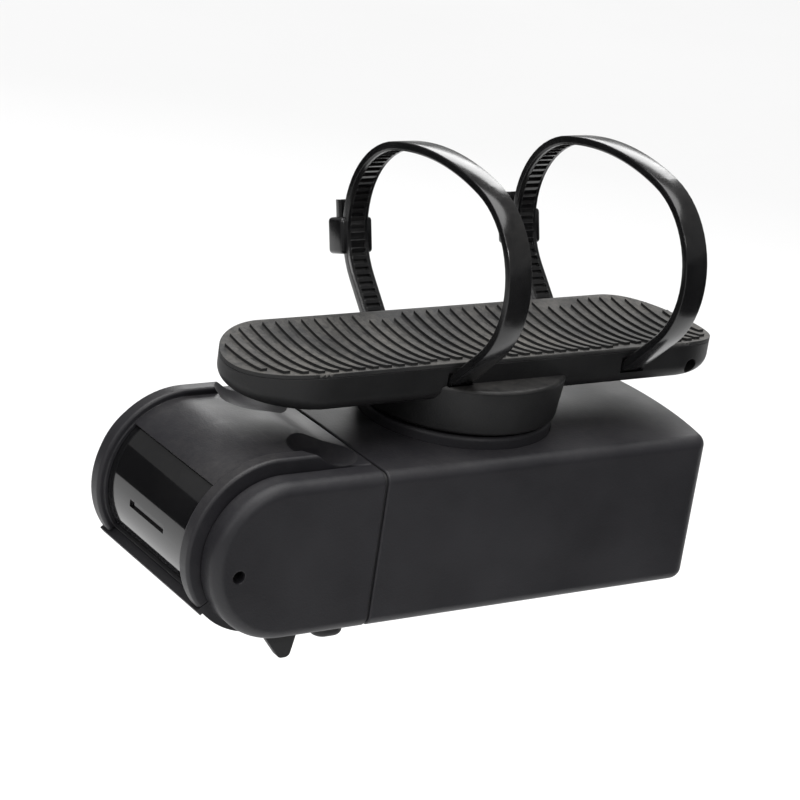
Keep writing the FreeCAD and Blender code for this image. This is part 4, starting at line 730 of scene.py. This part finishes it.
def board_finish(name):
    """Solder mask over copper: green, with raised traces that run in steps."""
    material = surface(name, (0.006, 0.055, 0.022), (0.010, 0.085, 0.035), (0.25, 0.35), grain=0.0006,
                       depth=0.000006, scuff=0.1, wear=0.3, worn=(0.25, 0.27, 0.16), Coat_Weight=0.5,
                       Coat_Roughness=0.15)
    tree = material.node_tree
    shader = next(node for node in tree.nodes if node.type == "BSDF_PRINCIPLED")
    mask_colour = shader.inputs["Base Color"].links[0].from_socket
    place = add(tree, "ShaderNodeTexCoord").outputs["Object"]
    traces = add(tree, "ShaderNodeTexVoronoi", {"Vector": place, "Scale": 1.0 / BOARD_TRACE_SPACING},
                 feature="F1", distance="CHEBYCHEV")
    lines = add(tree, "ShaderNodeMapRange", {"Value": traces.outputs["Distance"],
                                             "From Min": BOARD_TRACE_EDGE, "From Max": BOARD_TRACE_EDGE + 0.05})
    tree.links.new(mixed(tree, lines.outputs[0], mask_colour, (0.02, 0.16, 0.06, 1.0)),
                   shader.inputs["Base Color"])
    return material


board_green = board_finish("green circuit board")
paint(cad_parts["charge_socket"], steel)
paint(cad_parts["io_board"], board_green)
paint(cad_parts["io_screws"], steel)

# ---- Sensor behind the window ----
# A steel bracket across the nose carries a small board with a black sensor housing, its lens and one
# light. An amber film of conductors runs back from it through the bulkhead to the main board.
lens_glass = surface("coated lens", (0.05, 0.07, 0.09), (0.08, 0.11, 0.14), (0.02, 0.06), grain=0.002,
                     depth=0.000001, scuff=0.1, wear=0.0, Specular_IOR_Level=0.8, Coat_Weight=1.0)
led_resin = surface("pale light", (0.6, 0.56, 0.36), (0.8, 0.78, 0.62), (0.15, 0.3), grain=0.0005,
                    depth=0.000004, scuff=0.0, wear=0.0)
flex_film = surface("amber film", (0.30, 0.11, 0.015), (0.42, 0.17, 0.03), (0.25, 0.4), grain=0.0008,
                    depth=0.000006, scuff=0.3, wear=0.1, worn=(0.5, 0.3, 0.1))
for node, material in (("sensor_bracket", steel), ("sensor_board", board_green), ("sensor_housing", chip_black),
                       ("sensor_lens", lens_glass), ("status_led", led_resin), ("sensor_flex", flex_film)):
    paint(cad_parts[node], material)

# ---- Main board and what it carries ----
# A long green board on two rails in the rear box, with a tinned shield, a square ceramic antenna,
# four black chips and a round buzzer soldered on it.
tinned = surface("tinned sheet", (0.42, 0.41, 0.39), (0.54, 0.53, 0.5), (0.28, 0.45), grain=0.0007,
                 depth=0.00001, scuff=0.5, Metallic=1.0)
ceramic = surface("fired ceramic", (0.5, 0.47, 0.38), (0.62, 0.59, 0.5), (0.4, 0.6), grain=0.0003,
                  depth=0.00001, scuff=0.1, wear=0.2, worn=(0.7, 0.68, 0.6))
for node, material in (("main_board", board_green), ("rf_shield", tinned), ("antenna", ceramic),
                       ("board_chips", chip_black), ("buzzer", chip_black)):
    paint(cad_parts[node], material)

# ---- Battery, its foam, plug and leads ----
# A flat lithium cell in a foil pouch lies on a foam pad on the floor of the rear box. Its two leads
# bend up round the end of the board to a cream plug on top.
foil = surface("foil pouch", (0.40, 0.41, 0.42), (0.52, 0.53, 0.54), (0.3, 0.5), grain=0.0016, depth=0.00003,
               patch=0.01, scuff=0.4, Metallic=1.0)
cream = surface("cream nylon plug", (0.55, 0.5, 0.36), (0.64, 0.6, 0.46), (0.35, 0.5), grain=0.0003,
                depth=0.000006, scuff=0.2, wear=0.1, worn=(0.7, 0.68, 0.6))
lead_red = surface("red silicone lead", (0.25, 0.012, 0.012), (0.36, 0.02, 0.02), (0.45, 0.6), grain=0.0003,
                   depth=0.000006, scuff=0.1, wear=0.0)
for node, material in (("battery_cell", foil), ("battery_foam", foam), ("battery_connector", cream),
                       ("battery_leads", lead_red)):
    paint(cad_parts[node], material)

# ---- Studio ----
# A wide pale floor, a soft light overhead, three lamps and an even surrounding. The computer hangs well
# above the floor. Two black cards keep the floor out of its glossy window and its near side.
FLOOR_DROP = 0.28
FLOOR_REACH = 3.0
CAMERA_PLACE = (0.20506, 0.26854, 0.10117)
CAMERA_AIM = (0.00913, 0.0, -0.02047)
CAMERA_ROLL = 8.509
CAMERA_LENS = 119.65
ROOM_LIGHT = 0.25
OVERHEAD_LIGHT = 3.0
OVERHEAD_SPREAD = 60
LAMP_AIM = (0, 0, -0.03)


def studio_floor():
    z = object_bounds()[0].z - FLOOR_DROP
    rim = 64
    points = [(FLOOR_REACH / MM * math.cos(2 * math.pi * i / rim), FLOOR_REACH / MM * math.sin(2 * math.pi * i / rim),
               z / MM) for i in range(rim)]
    ground = new_object("floor", mesh_from("floor", points, [tuple(range(rim))]))
    material = bpy.data.materials.new("pale floor")
    material.use_nodes = True
    tree = material.node_tree
    shader = tree.nodes["Principled BSDF"]
    place = add(tree, "ShaderNodeTexCoord").outputs["Object"]
    mottle = add(tree, "ShaderNodeTexNoise", {"Vector": place, "Scale": 3.0, "Detail": 4.0})
    tree.links.new(mixed(tree, mottle.outputs["Fac"], (0.80, 0.80, 0.80, 1.0), (0.84, 0.84, 0.84, 1.0)),
                   shader.inputs["Base Color"])
    shader.inputs["Roughness"].default_value = 0.6
    ground.data.materials.append(material)


def soft_lamp(name, place, aim, size, power):
    light = bpy.data.lights.new(name, "AREA")
    light.shape = "RECTANGLE"
    light.size = size[0]
    light.size_y = size[1]
    light.energy = power
    lamp = bpy.data.objects.new(name, light)
    lamp.location = place
    lamp.rotation_euler = (Vector(aim) - Vector(place)).to_track_quat("-Z", "Y").to_euler()
    bpy.context.scene.collection.objects.link(lamp)


def black_card(name, middle, size):
    facing = Vector((middle[0], middle[1], 0)).normalized()
    across = Vector((-facing.y, facing.x, 0)) * size[0] / 2
    up = Vector((0, 0, size[1] / 2))
    corners = [(Vector(middle) + across * u + up * v) / MM for u, v in ((-1, -1), (1, -1), (1, 1), (-1, 1))]
    card = new_object(name, mesh_from(name, [tuple(corner) for corner in corners], [(0, 1, 2, 3)]))
    card.visible_camera = False
    card.visible_diffuse = False
    card.visible_shadow = False
    material = bpy.data.materials.new(name)
    material.use_nodes = True
    shader = material.node_tree.nodes["Principled BSDF"]
    shader.inputs["Base Color"].default_value = (0.01, 0.01, 0.01, 1.0)
    shader.inputs["Roughness"].default_value = 0.9
    card.data.materials.append(material)


def studio_camera():
    place = Vector(CAMERA_PLACE)
    aim = Vector(CAMERA_AIM)
    back = (place - aim).normalized()
    right = Vector((0, 0, 1)).cross(back).normalized()
    up = back.cross(right)
    roll = math.radians(CAMERA_ROLL)
    across = right * math.cos(roll) + up * math.sin(roll)
    high = up * math.cos(roll) - right * math.sin(roll)
    lens = bpy.data.cameras.new("camera")
    lens.lens = CAMERA_LENS
    lens.sensor_width = 36.0
    lens.clip_start = 0.01
    lens.clip_end = 20.0
    camera = bpy.data.objects.new("camera", lens)
    turn = Matrix((across, high, back)).transposed().to_4x4()
    camera.matrix_world = Matrix.Translation(place) @ turn
    bpy.context.scene.collection.objects.link(camera)
    bpy.context.scene.camera = camera


studio_floor()
black_card("side card", (-0.16, 0.22, -0.09), (0.6, 0.3))
black_card("nose card", (0.17, -0.22, -0.02), (0.5, 0.12))
high_light = bpy.data.lights.new("overhead light", "SUN")
high_light.energy = OVERHEAD_LIGHT
high_light.angle = math.radians(OVERHEAD_SPREAD)
bpy.context.scene.collection.objects.link(bpy.data.objects.new("overhead light", high_light))
soft_lamp("front lamp", (0.75, 0.25, 0.45), LAMP_AIM, (0.25, 0.25), 1.2)
soft_lamp("side lamp", (0.10, 0.75, 0.55), LAMP_AIM, (0.07, 0.07), 1.5)
soft_lamp("rear lamp", (-0.60, -0.70, 0.45), LAMP_AIM, (0.5, 0.4), 3.0)
studio_camera()
world = bpy.data.worlds.new("white studio")
world.use_nodes = True
around = world.node_tree
seen = add(around, "ShaderNodeLightPath").outputs["Is Camera Ray"]
around.links.new(maths(around, "MULTIPLY_ADD", seen, 1.0 - ROOM_LIGHT, ROOM_LIGHT),
                 around.nodes["Background"].inputs["Strength"])
around.nodes["Background"].inputs["Color"].default_value = (1.0, 1.0, 1.0, 1.0)
bpy.context.scene.world = world
bpy.context.scene.view_settings.view_transform = "Standard"
